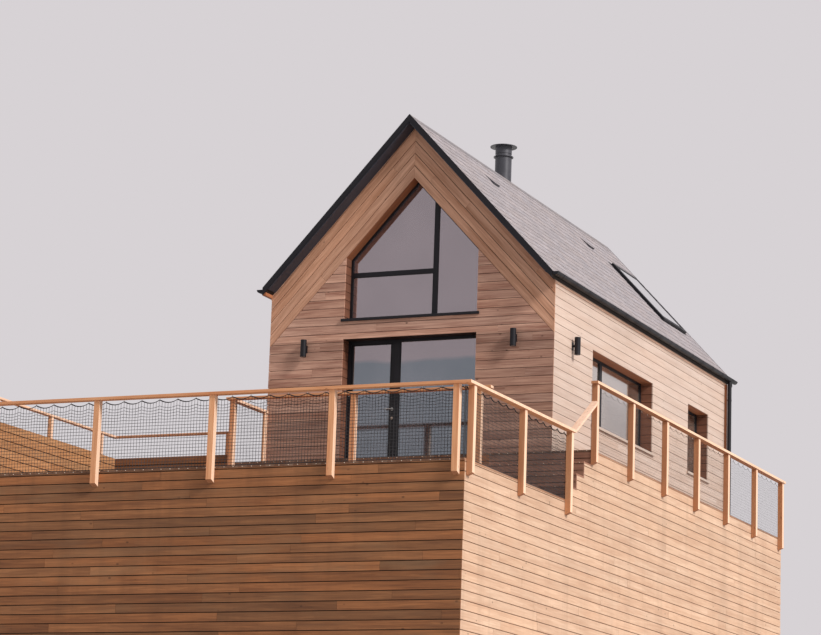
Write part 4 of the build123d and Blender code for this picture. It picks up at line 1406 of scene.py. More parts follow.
@dataclass
class Skirts:
    """Weathered boarding that closes the underside of both decks, and the screen walls."""

    house: House
    site: Site
    pitch: float = 0.14
    gap: float = 0.014
    side_skirt_gap: float = 0.012
    backing: float = 0.022
    thickness: float = 0.021
    inset: float = 0.023
    lengths: tuple[float, float] = (2.8, 4.8)
    joint: float = 0.003
    unevenness: float = 0.003
    lower_top: float = 2.532
    upper_top: float = 3.492
    screen_top: float = 3.66
    terrace_face: float = 4.7

    def build(self) -> None:
        """Boards every skirt and screen."""
        self.cores()
        self.front_face()
        self.side_face()
        self.screens()
        self.ends()

    def cores(self) -> None:
        """Sets the CAD skirts back behind their boards."""
        s = self.site
        front, right = Plane(1, s.front, -1), Plane(0, s.right, 1)
        left, rear = Plane(0, s.left, -1), Plane(1, s.rear, 1)
        terrace = Plane(1, s.terrace_front, -1)
        for node, planes in {
            "front_skirt": [front, right, left],
            "side_skirt": [right, rear],
            "left_deck_wall": [left, Plane(0, s.inner, 1), Plane(1, s.front + s.skirt, -1)],
            "garden_wall": [terrace, Plane(1, s.back, 1)],
            "terrace_fascia": [terrace],
            "end_skirts": [Plane(0, s.terrace_left, -1), rear],
        }.items():
            finish = Finish.WARM_UNDERLAY if node == "side_skirt" else Finish.UNDERLAY
            core_of(node, planes, self.backing, "skirt_boards", finish)

    def face(
        self, name: str, start: Vector, along: Vector, length: float, height: float, seed: int,
        finish: Finish = Finish.SKIRT, holes: list[Span] | None = None,
    ) -> None:
        """Boards one upright face.

        Args:
            name: The piece's name.
            start: The face's lower start corner, seen from outside.
            along: The way that the boards run, rightwards as seen from outside.
            length: The face's length.
            height: The face's height.
            seed: The seed of its board lengths and tones.
            finish: Its finish.
            holes: What is left bare.
        """
        shape = Shape(seed)
        gap = self.side_skirt_gap if finish is Finish.SIDE_SKIRT else self.gap
        Boarding(
            start, along, UP, length, height, self.pitch, gap, self.thickness, self.lengths,
            holes=holes or [], joint=self.joint, unevenness=self.unevenness,
        ).lay(shape)
        shape.piece(name, finish, "skirt_boards")

    def front_face(self) -> None:
        """The front of the lower deck."""
        s = self.site
        start = Vector((s.left, s.front, 0.0))
        self.face("front_skirt_boards", start, RIGHT, s.right - s.left, self.lower_top, 52)

    def side_face(self) -> None:
        """The long side below the walkway, stepped where the stair climbs."""
        s = self.site
        start = Vector((s.right, s.front + self.inset, 0.0))
        foot = s.first_riser - start.y
        holes = [Span(0.0, foot, self.lower_top, BEYOND)]
        for step in range(s.steps):
            near = s.first_riser + s.going * step - start.y
            holes.append(Span(near, near + s.going, self.lower_top + s.rise * (step + 1), BEYOND))
        length = s.rear - s.front - 2 * self.inset
        self.face("side_skirt_boards", start, BACK, length, self.upper_top, 53, Finish.SIDE_SKIRT, holes)

    def screens(self) -> None:
        """Both faces of the left screen wall and of the wall beside the terrace."""
        s = self.site
        near, height = s.front + s.skirt, self.screen_top - s.lower
        outer = Vector((s.left, s.back, 0.0))
        length = s.back - s.front - self.inset
        holes = [Span(s.back - near, BEYOND, self.lower_top, BEYOND)]
        self.face("left_screen_outer", outer, -BACK, length, self.screen_top, 54, Finish.SKIRT, holes)
        start = Vector((s.inner, near + self.inset, s.lower))
        self.face("left_screen_inner", start, BACK, s.terrace_front - start.y, height, 55, Finish.SCREEN)
        start = Vector((s.left, near, s.lower))
        self.face("left_screen_end", start, RIGHT, s.skirt, height, 56)
        start = Vector((s.inner, s.terrace_front, s.lower))
        self.face("garden_screen_front", start, RIGHT, s.terrace_left - s.inner, height, 57)
        start = Vector((s.terrace_left, s.back, 0.0))
        length = s.terrace_left - s.left - self.inset
        self.face("garden_screen_back", start, -RIGHT, length, self.screen_top, 58)

    def ends(self) -> None:
        """The terrace's face above the lower deck, its left end, and the walkway's rear end."""
        s, h = self.site, self.house
        start = Vector((s.terrace_left, s.terrace_front, s.lower))
        self.face("terrace_face_boards", start, RIGHT, self.terrace_face, self.upper_top - s.lower, 59)
        start = Vector((s.terrace_left, h.front, 0.0))
        self.face("terrace_end_boards", start, -BACK, h.front - s.back, self.upper_top, 60)
        start = Vector((s.right - self.inset, s.rear, 0.0))
        self.face("walkway_end_boards", start, -RIGHT, s.right - self.inset - h.right, self.upper_top, 61)


@dataclass
class Decks:
    """The boards of the lower deck, the terrace and walkway, and the stair between them."""

    house: House
    site: Site
    pitch: float = 0.15
    gap: float = 0.005
    lengths: tuple[float, float] = (5.3, 6.4)
    whole: tuple[float, float] = (9.0, 9.1)
    stair_cut: float = 4.26
    riser_pitch: float = 0.107
    riser_gap: float = 0.011
    riser_lengths: tuple[float, float] = (2.0, 3.0)
    head_radius: float = 0.0065
    head_depth: float = 0.008
    head_margin: float = 0.025

    def build(self) -> None:
        """Lays both decks and dresses the stair."""
        s, h = self.site, self.house
        width = s.right - s.left
        holes = [
            Span(s.skirt, BEYOND, width - s.skirt, BEYOND),
            Span(self.stair_cut, BEYOND, -s.skirt, s.skirt),
        ]
        start = Vector((s.right, s.front, s.lower))
        self.deck("deck_floor", "lower_deck_boards", start, s.terrace_front - s.front, width, holes)
        holes = [Span(h.front - s.terrace_front, BEYOND, s.right - h.right, BEYOND)]
        start = Vector((s.right, s.terrace_front, s.upper))
        width = s.right - s.terrace_left
        self.deck("upper_deck_floor", "upper_deck_boards", start, s.rear - s.terrace_front, width, holes)
        self.stair()
        self.heads()

    def deck(
        self, node: str, name: str, start: Vector, length: float, width: float, holes: list[Span]
    ) -> None:
        """Lays one deck's boards from front to back over the CAD deck's joists.

        Args:
            node: The CAD deck.
            name: The boards' name.
            start: The deck's front right corner.
            length: From front to back.
            width: From side to side.
            holes: What is left bare.
        """
        shape, thick = Shape(len(name)), self.site.board
        Boarding(
            start, BACK, -RIGHT, length, width, self.pitch, self.gap, thick, self.lengths, holes=holes
        ).lay(shape)
        # The deck boards' ends get painted shade.
        PaintedLight().shade_ends(shape.piece(name, Finish.DECK, "deck_boards"))
        core_of(node, [Plane(2, start.z, 1)], thick, "deck_boards")

    def stair(self) -> None:
        """Short boards on the treads, level boards on the risers, and the strings at both ends."""
        treads, risers, thick = Shape(61), Shape(62), self.site.board
        for low, high in loose_boxes("stair_treads"):
            start = Vector((high.x, low.y, high.z))
            Boarding(
                start, BACK, -RIGHT, high.y - low.y, high.x - low.x, self.pitch, self.gap, thick, self.whole
            ).lay(treads)
        for low, high in loose_boxes("stair_risers"):
            Boarding(
                low, RIGHT, UP, high.x - low.x, high.z - low.z, self.riser_pitch, self.riser_gap, thick,
                self.riser_lengths,
            ).lay(risers)
        made = treads.piece("stair_tread_boards", Finish.STAIR, "deck_boards")
        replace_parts(made, "stair_treads")
        made = risers.piece("stair_riser_boards", Finish.STAIR, "skirt_boards")
        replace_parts(made, "stair_risers")
        timber_copy("stair_carriages", Finish.STAIR, "skirt_boards")

    def heads(self) -> None:
        """A pale fixing head at the end of every deck board along the open edges, painted as a glint: a
        painted highlight.
        """
        s, shape = self.site, Shape(63)
        half, margin = s.board / 2, self.head_margin
        edges = [
            (s.front, s.lower - half, s.left + margin, s.right - margin),
            (s.terrace_front, s.upper - half, s.terrace_left + margin, s.right - margin),
        ]
        edges += [(low.y, high.z - half, low.x, high.x) for low, high in loose_boxes("stair_treads")]
        for front, level, low, high in edges:
            for index in range(int((s.right - low) / self.pitch)):
                x = s.right - (index + 0.5) * self.pitch
                if x < high:
                    centre = Vector((x, front - self.head_depth / 4, level))
                    add_disc(shape, centre, -BACK, self.head_radius, self.head_depth)
        shape.piece("deck_fixing_heads", Finish.HEAD, "steel")


@dataclass
class Railings:
    """Posts and flat handrails in orange timber, with a paler rail beside the stair."""

    edge: float = 0.004

    def build(self) -> None:
        """Dresses posts and rails."""
        for node in (
            "deck_posts", "upper_posts", "lower_handrail", "walkway_handrail", "terrace_handrail",
            "low_posts", "low_handrail",
        ):
            timber_copy(node, Finish.RAIL, "rail_timber", self.edge)
        timber_copy("stair_handrail", Finish.PALE_RAIL, "rail_timber", self.edge)


@dataclass(frozen=True)
class Twine:
    """How thick a net's strands are, and the radius of its top rope."""

    strand: float
    rope: float


@dataclass(frozen=True)
class Panel:
    """One sheet of net: its lower start corner, the way it runs, its size and its twine."""

    start: Vector
    along: Vector
    length: float
    height: float
    twine: Twine


@dataclass
class Netting:
    """Black square mesh under the rails, hung from hooks by a scalloped rope."""

    mesh: float = 0.050
    front: Twine = Twine(0.0046, 0.0085)
    side: Twine = Twine(0.0014, 0.0028)
    side_over: float = 3.0
    scallop: float = 0.305
    sag: float = 0.045
    sagging_rows: int = 7
    straight: float = 0.61
    lean: float = 0.0015
    waver: float = 0.0007
    edge_share: float = 0.8
    foot_level: float = 0.012
    end_level: float = 0.01
    hook: tuple[float, float] = (0.005, 0.022)
    hook_lift: float = 0.004

    def build(self) -> None:
        """Makes every panel where the CAD has one."""
        strands, ropes, hooks = Shape(81), Shape(82), Shape(83)
        for low, high in loose_boxes("netting"):
            wide_x = high.x - low.x > high.y - low.y
            middle = (low + high) / 2
            start = Vector((low.x, middle.y, low.z)) if wide_x else Vector((middle.x, low.y, low.z))
            length = high.x - low.x if wide_x else high.y - low.y
            twine = self.side if low.z > self.side_over else self.front
            panel = Panel(start, RIGHT if wide_x else BACK, length, high.z - low.z, twine)
            self.upright(strands, panel)
            self.level(strands, panel)
            self.edging(ropes, hooks, panel)
        made = strands.piece("net_mesh", Finish.TWINE, "netting")
        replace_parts(made, "netting")
        ropes.piece("net_ropes", Finish.TWINE, "netting")
        hooks.piece("net_hooks", Finish.STEEL, "steel")

    def dip(self, distance: float) -> float:
        """How far the top edge hangs below its hooks at a distance along it."""
        part = (distance / self.scallop) % 1.0
        return self.sag * 4 * part * (1 - part)

    def bar(self, shape: Shape, start: Vector, end: Vector, thickness: float) -> None:
        """One straight run of twine between two points.

        Args:
            shape: The shape that it joins.
            start: One end.
            end: The other end.
            thickness: The twine's.
        """
        run = end - start
        along = run.normalized()
        across = along.orthogonal().normalized()
        size = Vector((run.length, thickness, thickness))
        shape.block(turned(along, across), (start + end) / 2, size, Vector(), Vector())

    def upright(self, shape: Shape, panel: Panel) -> None:
        """The upright twines of one panel, up to its dipping top edge.

        Args:
            shape: The shape that they join.
            panel: The sheet of net.
        """
        count = int(panel.length / self.mesh)
        for index in range(count + 1):
            place = index * panel.length / count
            foot = panel.start + panel.along * place
            lean = panel.along * shape.rng.uniform(-self.lean, self.lean)
            head = foot + UP * (panel.height - self.dip(place)) + lean
            self.bar(shape, foot, head, panel.twine.strand)

    def level(self, shape: Shape, panel: Panel) -> None:
        """The level twines of one panel, which sag in the rows just under its top edge.

        Args:
            shape: The shape that they join.
            panel: The sheet of net.
        """
        for row in range(1, int(panel.height / self.mesh)):
            level = row * self.mesh
            depth = (panel.height - level) / self.mesh
            share = max(0.0, 1.0 - depth / self.sagging_rows)
            step = self.scallop / 6 if share > 0 else self.straight
            runs = max(1, round(panel.length / step))
            points = []
            for index in range(runs + 1):
                place = index * panel.length / runs
                fall = self.dip(place) * share + shape.rng.uniform(-self.waver, self.waver)
                points.append(panel.start + panel.along * place + UP * (level - fall))
            for before, after in zip(points, points[1:]):
                self.bar(shape, before, after, panel.twine.strand)

    def edging(self, ropes: Shape, hooks: Shape, panel: Panel) -> None:
        """The ropes along one panel's edges and the hooks that carry the top one.

        Args:
            ropes: The ropes' shape.
            hooks: The hooks' shape.
            panel: The sheet of net.
        """
        start, along, length, height = panel.start, panel.along, panel.length, panel.height
        rope, edge, foot = panel.twine.rope, panel.twine.rope * self.edge_share, UP * self.foot_level
        runs = round(length / (self.scallop / 8))
        places = [index * length / runs for index in range(runs + 1)]
        add_tube(ropes, [start + along * p + UP * (height - self.dip(p)) for p in places], rope)
        add_tube(ropes, [start + foot, start + along * length + foot], edge)
        for end in (start, start + along * length):
            add_tube(ropes, [end + UP * self.end_level, end + UP * height], edge)
        for index in range(int(length / self.scallop) + 1):
            top = start + along * (index * self.scallop) + UP * (height + self.hook_lift)
            add_disc(hooks, top, UP, *self.hook)


@dataclass(frozen=True)
class Slope:
    """One side of the roof: its start corner at the eaves, the level way, the way up and the way out."""

    corner: Vector
    along: Vector
    up: Vector
    out: Vector

    def at(self, along: float, up: float, out: float) -> Vector:
        """The point this far along the eaves, up the slope and out from it."""
        return self.corner + self.along * along + self.up * up + self.out * out

    def lifted(self, angle: float) -> Matrix:
        """The turn of a slate whose tail is lifted by an angle."""
        return turned(self.along, self.up * math.cos(angle) - self.out * math.sin(angle))


@dataclass
class Roof:
    """Slates, ridge tiles, vents, verges, gutters and the roof window."""

    house: House
    slate_width: float = 0.25
    slate_joint: float = 0.008
    slate_lap: float = 0.012
    slate_thickness: float = 0.006
    slate_drop: float = 0.003
    slate_rest: float = 1.15
    slate_wave: float = 0.001
    slate_least: float = 0.01
    gauge: float = 0.2
    top_margin: float = 0.05
    side_margin: float = 0.002
    tile_length: float = 0.45
    tile_width: float = 0.19
    tile_thickness: float = 0.014
    tile_joint: float = 0.005
    tile_drop: float = 0.055
    strip_size: tuple[float, float] = (0.014, 0.010)
    strip_drop: float = 0.083
    strip_lift: float = 0.009
    strip_short: float = 0.01
    lining: float = 0.012
    lining_drop: float = 0.02
    lining_short: float = 0.16
    block_size: tuple[float, float, float] = (0.274, 0.062, 0.056)
    block_shift: tuple[float, float] = (0.012, 0.14)
    block_level: float = 6.632
    eaves_size: tuple[float, float] = (0.075, 0.02)
    eaves_shift: tuple[float, float] = (0.011, 0.03)
    vent_slate: tuple[float, float, float] = (0.262, 0.34, 0.004)
    vent_rise: float = 0.045
    vent_lift: float = 0.014
    gutter_radius: float = 0.058
    gutter_reach: float = 2.736
    gutter_drop: float = 0.012
    bracket_pitch: float = 0.65
    bracket: tuple[float, float] = (0.003, 0.026)
    clip_radius: float = 0.042
    clip: tuple[float, float] = (0.004, 0.03)
    clip_places: tuple[float, float, float] = (0.12, 0.5, 0.88)
    pane_lift: float = 0.027
    window: Span = Span(8.14, 9.52, 1.199, 2.799)
    apron: Span = Span(4.79, 5.41, 3.15, 3.80)
    flashing_wide: float = 0.10
    flashing_thin: float = 0.03
    flashing_lift: float = 0.011
    flashing_thickness: float = 0.006
    roof_depth: float = 0.08

    def build(self) -> None:
        """Dresses the whole roof."""
        for node in ("roof_left", "roof_right"):
            paint(node, Finish.UNDERLAY)
        for node in ("verge_trims", "gutters", "downpipes", "roof_window"):
            paint(node, Finish.DARK)
        self.roof_pane()
        self.slates("right", [self.window])
        self.slates("left", [self.apron])
        self.ridge()
        self.eaves_block()
        self.verge_linings()
        self.eaves_glow_boards()
        self.vents()
        self.brackets()
        self.window_flashing()

    @property
    def slope_length(self) -> float:
        """From the eaves to the ridge, along the slope."""
        return self.house.eaves_reach / math.cos(PITCH)

    @property
    def eaves_level(self) -> float:
        """The height of the slope's lower edge."""
        return self.house.ridge - SLOPE * self.house.eaves_reach

    def slope(self, side: int) -> Slope:
        """One side of the roof.

        Args:
            side: 1 for the right slope, -1 for the left.

        Returns:
            The slope.
        """
        h = self.house
        along = BACK * side
        edge = h.front - h.overhang if side > 0 else h.rear + h.overhang
        corner = Vector((h.centre + side * h.eaves_reach, edge, self.eaves_level))
        up = Vector((-side * math.cos(PITCH), 0, math.sin(PITCH)))
        return Slope(corner, along, up, along.cross(up))

    def slates(self, word: str, holes: list[Span]) -> None:
        """Lays one slope's slates in broken bond, each with its tail lifted by the one below.

        Args:
            word: The side, right or left.
            holes: What is left bare.
        """
        side = 1 if word == "right" else -1
        slope, shape = self.slope(side), Shape(91 + side)
        length, margin, thick = self.house.roof_length, self.side_margin, self.slate_thickness
        courses = round((self.slope_length - self.top_margin) / self.gauge)
        gauge = (self.slope_length - self.top_margin) / courses
        axes = slope.lifted(math.asin(thick / gauge))
        height = self.slope_length
        face = Boarding(slope.corner, slope.along, slope.up, length, height, gauge, 0.0, holes=holes)
        for course in range(courses):
            middle = course * gauge + gauge / 2
            place = -self.slate_width / 2 if course % 2 else 0.0
            while place < length:
                left = max(place, margin)
                right = min(place + self.slate_width - self.slate_joint, length - margin)
                drop = shape.rng.uniform(-self.slate_drop, self.slate_drop)
                shade, offset = shape.draw_shade(), shape.draw_offset()
                wide_enough = right > left + self.slate_least
                for a, b in face.free(left, right, middle) if wide_enough else []:
                    lift = thick * self.slate_rest + shape.rng.uniform(0.0, self.slate_wave)
                    centre = slope.at((a + b) / 2, middle + drop, lift)
                    shape.block(axes, centre, Vector((b - a, gauge + self.slate_lap, thick)), shade, offset)
                place += self.slate_width
        shape.piece(word + "_slates", Finish.SLATE, "slate")

    def ridge(self) -> None:
        """Slate-grey ridge tiles, mitred along the top, over a dark strip on each side: a painted shadow line
        under the tiles.
        """
        h = self.house
        count = round(h.roof_length / self.tile_length)
        pitch = h.roof_length / count
        for side, word in ((1, "right"), (-1, "left")):
            slope, shape, strip = self.slope(side), Shape(95), Shape(96)
            axes = slope.lifted(0.0)
            size = Vector((pitch - self.tile_joint, self.tile_width, self.tile_thickness))
            for index in range(count):
                up = self.slope_length - self.tile_drop
                centre = slope.at((index + 0.5) * pitch, up, self.tile_thickness / 2)
                shape.block(axes, centre, size, shape.draw_shade(), shape.draw_offset())
            shape.clip(Vector((h.centre, 0, 0)), Vector((-side, 0, 0)))
            tiles = shape.piece("ridge_tiles_" + word, Finish.RIDGE, "slate")
            # A dark strip just under each side's tiles: a painted shadow line.
            centre = slope.at(h.roof_length / 2, self.slope_length - self.strip_drop, self.strip_lift)
            size = Vector((h.roof_length - self.strip_short, *self.strip_size))
            strip.block(axes, centre, size, Vector(), Vector())
            strip.piece("ridge_shadow_strip_" + word, Finish.DARK, "slate")
        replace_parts(tiles, "ridge_cap")

    def eaves_block(self) -> None:
        """The timber block that shows at the front end of the left eaves."""
        h, shape = self.house, Shape(95)
        place = Vector((h.left - self.block_shift[0], h.front - self.block_shift[1], self.block_level))
        size = Vector(self.block_size)
        shape.block(turned(BACK, RIGHT), place, size, shape.draw_shade(), shape.draw_offset())
        shape.piece("left_eaves_block", Finish.REVEAL, "rail_timber")

    def verge_linings(self) -> None:
        """Dark linings under both verges."""
        h, shape = self.house, Shape(93)
        up, out = self.slope_length / 2 - self.lining_drop, -(self.roof_depth + self.lining / 2)
        size = Vector((self.slope_length - self.lining_short, h.overhang - self.side_margin, self.lining))
        for side in (-1, 1):
            slope = self.slope(side)
            axes = turned(slope.up, -slope.along)
            for middle in (h.overhang / 2, h.roof_length - h.overhang / 2):
                centre = slope.at(middle, up, out)
                shape.block(axes, centre, size, shape.draw_shade(), shape.draw_offset())
        shape.piece("verge_soffits", Finish.VERGE, "dark_metal")

    def eaves_glow_boards(self) -> None:
        """The board behind each gutter, painted pale as a glow of light bounced under the gutter."""
        h, shape = self.house, Shape(94)
        size = Vector((h.rear - h.front, *self.eaves_size))
        out, drop = self.eaves_shift
        for side, edge in ((-1, h.left), (1, h.right)):
            centre = Vector((edge + side * out, h.middle.y, h.wall_top - drop))
            shape.block(turned(BACK, UP), centre, size, shape.draw_shade(), shape.draw_offset())
        # Pale timber standing for a glow of light bounced under the gutter: painted light.
        shape.piece("eaves_glow_boards", Finish.PALE_RAIL, "rail_timber")

    def vents(self) -> None:
        """The two vents on the right slope: a dark body with a slate laid on it."""
        paint("roof_vents", Finish.FLUE)
        shape, size = Shape(100), Vector(self.vent_slate)
        axes = self.slope(1).lifted(math.atan2(self.vent_rise, self.vent_slate[1]))
        for low, high in loose_boxes("roof_vents"):
            centre = (low + high) / 2 + axes.col[2] * self.vent_lift
            shape.block(axes, centre, size, shape.draw_shade(), shape.draw_offset())
        shape.piece("vent_slates", Finish.SLATE, "slate")

    def brackets(self) -> None:
        """Gutter brackets, and the clips that hold the downpipes."""
        h, shape = self.house, Shape(97)
        count = round(h.roof_length / self.bracket_pitch)
        radius = self.gutter_radius + self.bracket[0] / 2
        for side in (-1, 1):
            x = h.centre + side * self.gutter_reach
            for index in range(count):
                place = h.front - h.overhang + (index + 0.5) * h.roof_length / count
                centre = Vector((x, place, self.eaves_level - self.gutter_drop))
                add_ring(shape, centre, BACK, RIGHT, radius, self.bracket, math.pi, 8)
        for low, high in loose_boxes("downpipes"):
            for share in self.clip_places:
                centre = (low + high) / 2
                centre.z = low.z + (high.z - low.z) * share
                add_ring(shape, centre, UP, RIGHT, self.clip_radius, self.clip)
        shape.piece("gutter_brackets", Finish.DARK, "dark_metal")

    def roof_pane(self) -> None:
        """The roof window's pane, bedded just under the top of its frame."""
        shape = copy_node("roof_window_glass", 99)
        bmesh.ops.translate(shape.bm, verts=shape.bm.verts, vec=self.slope(1).out * self.pane_lift)
        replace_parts(shape.piece("roof_window_pane", Finish.ROOF_GLASS, "glass"), "roof_window_glass")

    def window_flashing(self) -> None:
        """Dark metal strips round the roof window's kerb, widest on its front side."""
        slope, shape, gap = self.slope(1), Shape(98), 0.001
        near, far, low, high = astuple(self.window)
        front, rear = near - self.flashing_wide, far + self.flashing_thin
        for a, b, c, d in (
            (front, rear, low - self.flashing_thin, low - gap),
            (front, rear, high + gap, high + self.flashing_thin),
            (front, near - gap, low, high),
            (far + gap, rear, low, high),
        ):
            centre = slope.at((a + b) / 2, (c + d) / 2, self.flashing_lift)
            size = Vector((b - a, d - c, self.flashing_thickness))
            shape.block(slope.lifted(0.0), centre, size, Vector(), Vector())
        shape.piece("roof_window_flashing", Finish.DARK, "dark_metal")


@dataclass(frozen=True)
class Gasket:
    """The rubber bead round a pane, and how far it stands proud of the glass."""

    house: House
    bead: float = 0.009
    proud: float = 0.006

    def fit(self, shape: Shape, low: Vector, high: Vector) -> None:
        """Adds four strips round a rectangular pane, on its outer face.

        Args:
            shape: The shape that they join.
            low: The pane's lowest corner.
            high: Its highest corner.
        """
        out = self.house.facing(low, high)
        along = BACK if abs(out.x) > 0.5 else RIGHT
        half = (high - low) / 2
        reach = half.dot(along)
        face = (low + high) / 2 + out * (half.dot(Vector([abs(v) for v in out])) + self.proud / 2)
        level = Vector((2 * reach, self.bead, self.proud))
        upright = Vector((self.bead, 2 * half.z, self.proud))
        for way, edge, size in ((UP, half.z, level), (along, reach, upright)):
            for sign in (1, -1):
                place = way * (sign * (edge - self.bead / 2))
                shape.block(turned(along, UP), face + place, size, Vector(), Vector())


@dataclass
class Glazing:
    """Window frames, panes, gaskets and sills."""

    house: House

    def build(self) -> None:
        """Dresses every window."""
        for node in ("gable_window_frame", "window_frames", "door_frame"):
            paint(node, Finish.DARK)
        glass = {"gable_panes": Finish.GLASS, "side_panes": Finish.BRIGHT_GLASS}
        sills = {"gable_sills": Finish.DARK, "side_sills": Finish.SILL}
        self.share("window_glass", "glass", glass)
        self.share("window_sills", "dark_metal", sills)
        shape, gasket = Shape(101), Gasket(self.house)
        for low, high in loose_boxes("window_glass"):
            if high.z < self.house.gable_over:
                gasket.fit(shape, low, high)
        shape.piece("window_gaskets", Finish.RUBBER, "dark_metal")

    def share(self, node: str, slot: str, finishes: dict[str, Finish]) -> None:
        """Shows a node as two pieces, each with its finish.

        Args:
            node: The CAD node, which both pieces stand for.
            slot: The record's material slot.
            finishes: The two names with their finishes, first what looks to the front or the rear, then what
                looks to the sides.
        """
        for (name, finish), kept in zip(finishes.items(), (BACK, RIGHT)):
            shape = copy_node(node, 102)
            for low, high in loose_boxes(node):
                if self.house.facing(low, high).dot(kept) == 0:
                    lost = [vertex for vertex in shape.bm.verts if inside(vertex.co, low, high)]
                    bmesh.ops.delete(shape.bm, geom=lost, context="VERTS")
            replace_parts(shape.piece(name, finish, slot), node)


@dataclass
class Door:
    """The glazed door leaf, its pane stepped over the leaf's frame, with its gaskets, handle and lock."""

    house: House
    step_side: float = 0.045
    step_top: float = 0.065
    step_out: float = 0.0175
    lock_level: float = 4.45
    rose_radius: float = 0.026
    rose_depth: float = 0.006
    plug_radius: float = 0.009
    plug_lift: float = 0.005

    def build(self) -> None:
        """Dresses the leaf and what turns with it."""
        paint("door_leaf", Finish.DARK)
        for node in ("door_handle", "hinge_pins", "hinge_barrels"):
            paint(node, Finish.STEEL)
        self.pane()
        self.lock()

    def pane(self) -> None:
        """The leaf's pane with its outer step, and the bead round that."""
        beads, pane = Shape(111), copy_node("door_leaf_glass", 113)
        low, high = loose_boxes("door_leaf_glass")[0]
        low -= Vector((self.step_side, self.step_out, self.step_side))
        high += Vector((0, 0, self.step_top))
        size = Vector((high.x - low.x, high.z - low.z, self.step_out))
        centre = Vector(((low.x + high.x) / 2, low.y + self.step_out / 2, (low.z + high.z) / 2))
        pane.block(turned(RIGHT, UP), centre, size, Vector(), Vector())
        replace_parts(pane.piece("door_stepped_pane", Finish.GLASS, "glass", "door"), "door_leaf_glass")
        Gasket(self.house).fit(beads, low, high)
        beads.piece("door_gaskets", Finish.RUBBER, "dark_metal", "door")

    def lock(self) -> None:
        """A round rose with its plug on both faces of the leaf, under the handle."""
        shape = Shape(112)
        x = loose_boxes("door_handle")[0][1].x - self.rose_radius
        leaf_low, leaf_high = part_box("door_leaf")
        for face, facing in ((leaf_low[1], -BACK), (leaf_high[1], BACK)):
            centre = Vector((x, face, self.lock_level)) + facing * (self.rose_depth / 2)
            add_disc(shape, centre, facing, self.rose_radius, self.rose_depth, 20)
            add_disc(shape, centre + facing * self.plug_lift, facing, self.plug_radius, self.rose_depth, 12)
        # The lock is painted pale as a glint of steel: a painted highlight.
        shape.piece("door_lock", Finish.HEAD, "steel", "door")


@dataclass
class Fittings:
    """The flue, the wall lamps and the floor boards inside the door."""

    house: House
    lamp_radius: float = 0.052
    band: tuple[float, float] = (0.004, 0.012)
    band_inset: float = 0.02
    lens_depth: float = 0.002
    lens_share: float = 0.8

    def build(self) -> None:
        """Dresses the flue, the floor and the lamps."""
        for node in ("flue_pipe", "flue_cowl"):
            paint(node, Finish.FLUE)
        paint("flue_flashing", Finish.LEAD)
        paint("wall_lamps", Finish.DARK)
        timber_copy("house_floors", Finish.FLOOR, "floor_boards", 0.001)
        self.lamp_rings()

    def lamp_rings(self) -> None:
        """A dark band and a dull lens at each end of each lamp."""
        bands, lenses = Shape(121), Shape(122)
        radius, lens_out = self.lamp_radius, self.band_inset - self.lens_depth / 4
        for low, high in loose_boxes("wall_lamps"):
            side = high.x > self.house.right
            x = high.x - radius if side else (low.x + high.x) / 2
            y = (low.y + high.y) / 2 if side else low.y + radius
            for level, facing in ((low.z + self.band_inset, -UP), (high.z - self.band_inset, UP)):
                centre = Vector((x, y, level))
                add_ring(bands, centre, UP, RIGHT, radius - 0.001, self.band, math.tau, 24)
                lens = centre + facing * lens_out
                add_disc(lenses, lens, facing, radius * self.lens_share, self.lens_depth, 20)
        bands.piece("lamp_bands", Finish.DARK, "dark_metal")
        lenses.piece("lamp_lenses", Finish.LEAD, "glass")


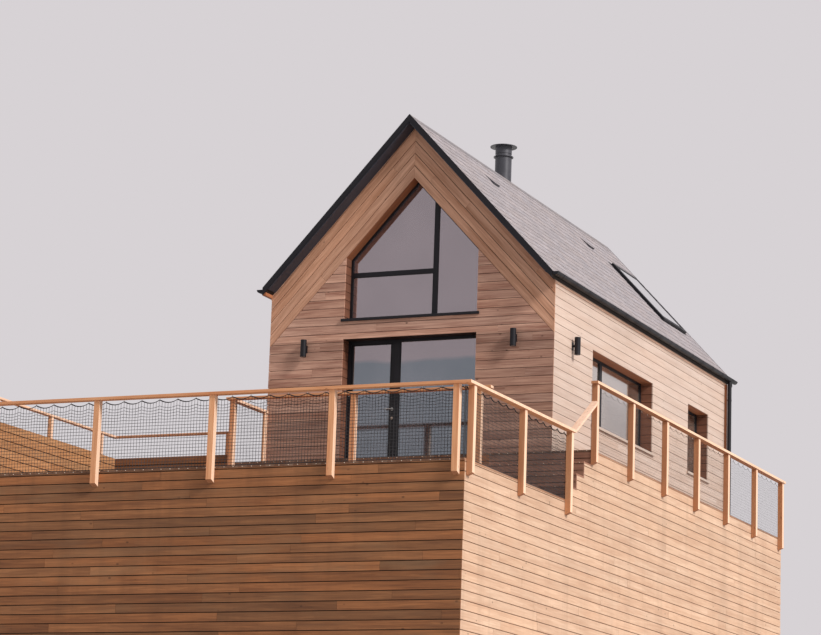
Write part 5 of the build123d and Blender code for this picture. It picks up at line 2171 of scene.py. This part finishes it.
@dataclass
class Studio:
    """A pale floor and sky, a soft key light from the right, and the camera."""

    floor_reach: float = 260.0
    floor_roughness: float = 0.9
    sky: Colour = tint(215, 210, 213)
    floor: Colour = tint(226, 223, 222)
    key_strength: float = 3.7
    key_azimuth: float = 74.0
    key_height: float = 36.0
    key_spread: float = 14.0
    key_colour: tuple[float, float, float] = (1.0, 0.965, 0.93)
    fill: float = 0.54
    fill_colour: Colour = (0.93, 0.96, 1.0, 1.0)
    place: tuple[float, float, float] = (19.427, -44.098, -3.735)
    yaw: float = 23.958
    pitch: float = 11.983
    roll: float = 1.950
    lens: float = 122.45
    sensor: float = 36.0
    sight: float = 600.0

    def build(self) -> None:
        """Sets up everything round the lodge."""
        self.lay_floor()
        self.light()
        self.open_sky()
        self.aim()
        bpy.context.scene.view_settings.view_transform = "Standard"

    def lay_floor(self) -> None:
        """A wide floor, clear when seen from beneath so that a low camera looks up through it."""
        bm = bmesh.new()
        bmesh.ops.create_grid(bm, x_segments=1, y_segments=1, size=self.floor_reach)
        mesh = bpy.data.meshes.new("floor")
        bm.to_mesh(mesh)
        bm.free()
        made = bpy.data.objects.new("floor", mesh)
        bpy.context.scene.collection.objects.link(made)
        g = Graph("floor_plain")
        paint_inputs = {"Base Color": self.floor, "Roughness": self.floor_roughness}
        matt = g.node("ShaderNodeBsdfPrincipled", None, paint_inputs)
        clear = g.node("ShaderNodeBsdfTransparent")
        beneath = g.out(g.node("ShaderNodeNewGeometry"), "Backfacing")
        mesh.materials.append(g.end(g.blend(beneath, matt, clear)))

    def light(self) -> None:
        """One broad sun-like lamp."""
        lamp = bpy.data.lights.new("key", "SUN")
        lamp.energy = self.key_strength
        lamp.angle = math.radians(self.key_spread)
        lamp.color = self.key_colour
        made = bpy.data.objects.new("key", lamp)
        side, height = math.radians(self.key_azimuth), math.radians(self.key_height)
        flat = math.cos(height)
        way = Vector((flat * math.sin(side), -flat * math.cos(side), math.sin(height)))
        made.rotation_euler = way.to_track_quat("Z", "Y").to_euler()
        bpy.context.scene.collection.objects.link(made)

    def open_sky(self) -> None:
        """A pale sky where it is seen or mirrored, and a dimmer one that lights."""
        g = Graph("sky", bpy.data.worlds.new("sky"))
        lit = g.node("ShaderNodeBackground", None, {0: self.fill_colour, 1: self.fill})
        seen = g.node("ShaderNodeBackground", None, {0: self.sky})
        path = g.node("ShaderNodeLightPath")
        seen_or_mirrored = g.out(path, "Is Camera Ray").at_least(g.out(path, "Is Glossy Ray"))
        factor = seen_or_mirrored.at_least(g.out(path, "Is Transmission Ray"))
        bpy.context.scene.world = g.end(g.blend(factor, lit, seen))

    def aim(self) -> None:
        """Places the camera and turns it to its yaw, pitch and roll."""
        lens = bpy.data.cameras.new("camera")
        lens.lens = self.lens
        lens.sensor_width = self.sensor
        lens.sensor_fit = "HORIZONTAL"
        lens.clip_end = self.sight
        made = bpy.data.objects.new("camera", lens)
        yaw, pitch, roll = math.radians(self.yaw), math.radians(self.pitch), math.radians(self.roll)
        ahead = Vector((-math.sin(yaw) * math.cos(pitch), math.cos(yaw) * math.cos(pitch), math.sin(pitch)))
        level = Vector((math.cos(yaw), math.sin(yaw), 0))
        upright = level.cross(ahead)
        right = level * math.cos(roll) + upright * math.sin(roll)
        above = -level * math.sin(roll) + upright * math.cos(roll)
        turn = Matrix((right, above, -ahead)).transposed().to_4x4()
        made.matrix_world = Matrix.Translation(Vector(self.place)) @ turn
        bpy.context.scene.collection.objects.link(made)
        bpy.context.scene.camera = made


def main() -> None:
    """Builds the dressed lodge in order, then the studio."""
    logging.basicConfig(level=logging.INFO, format="%(message)s")
    house, site = House(), Site()
    for assembly in (
        Cladding(house), Skirts(house, site), Decks(house, site), Railings(), Netting(), Roof(house),
        Glazing(house), Door(house), Fittings(house), Studio(),
    ):
        log.info("-- %s", type(assembly).__name__)
        assembly.build()


if __name__ == "__main__":
    main()
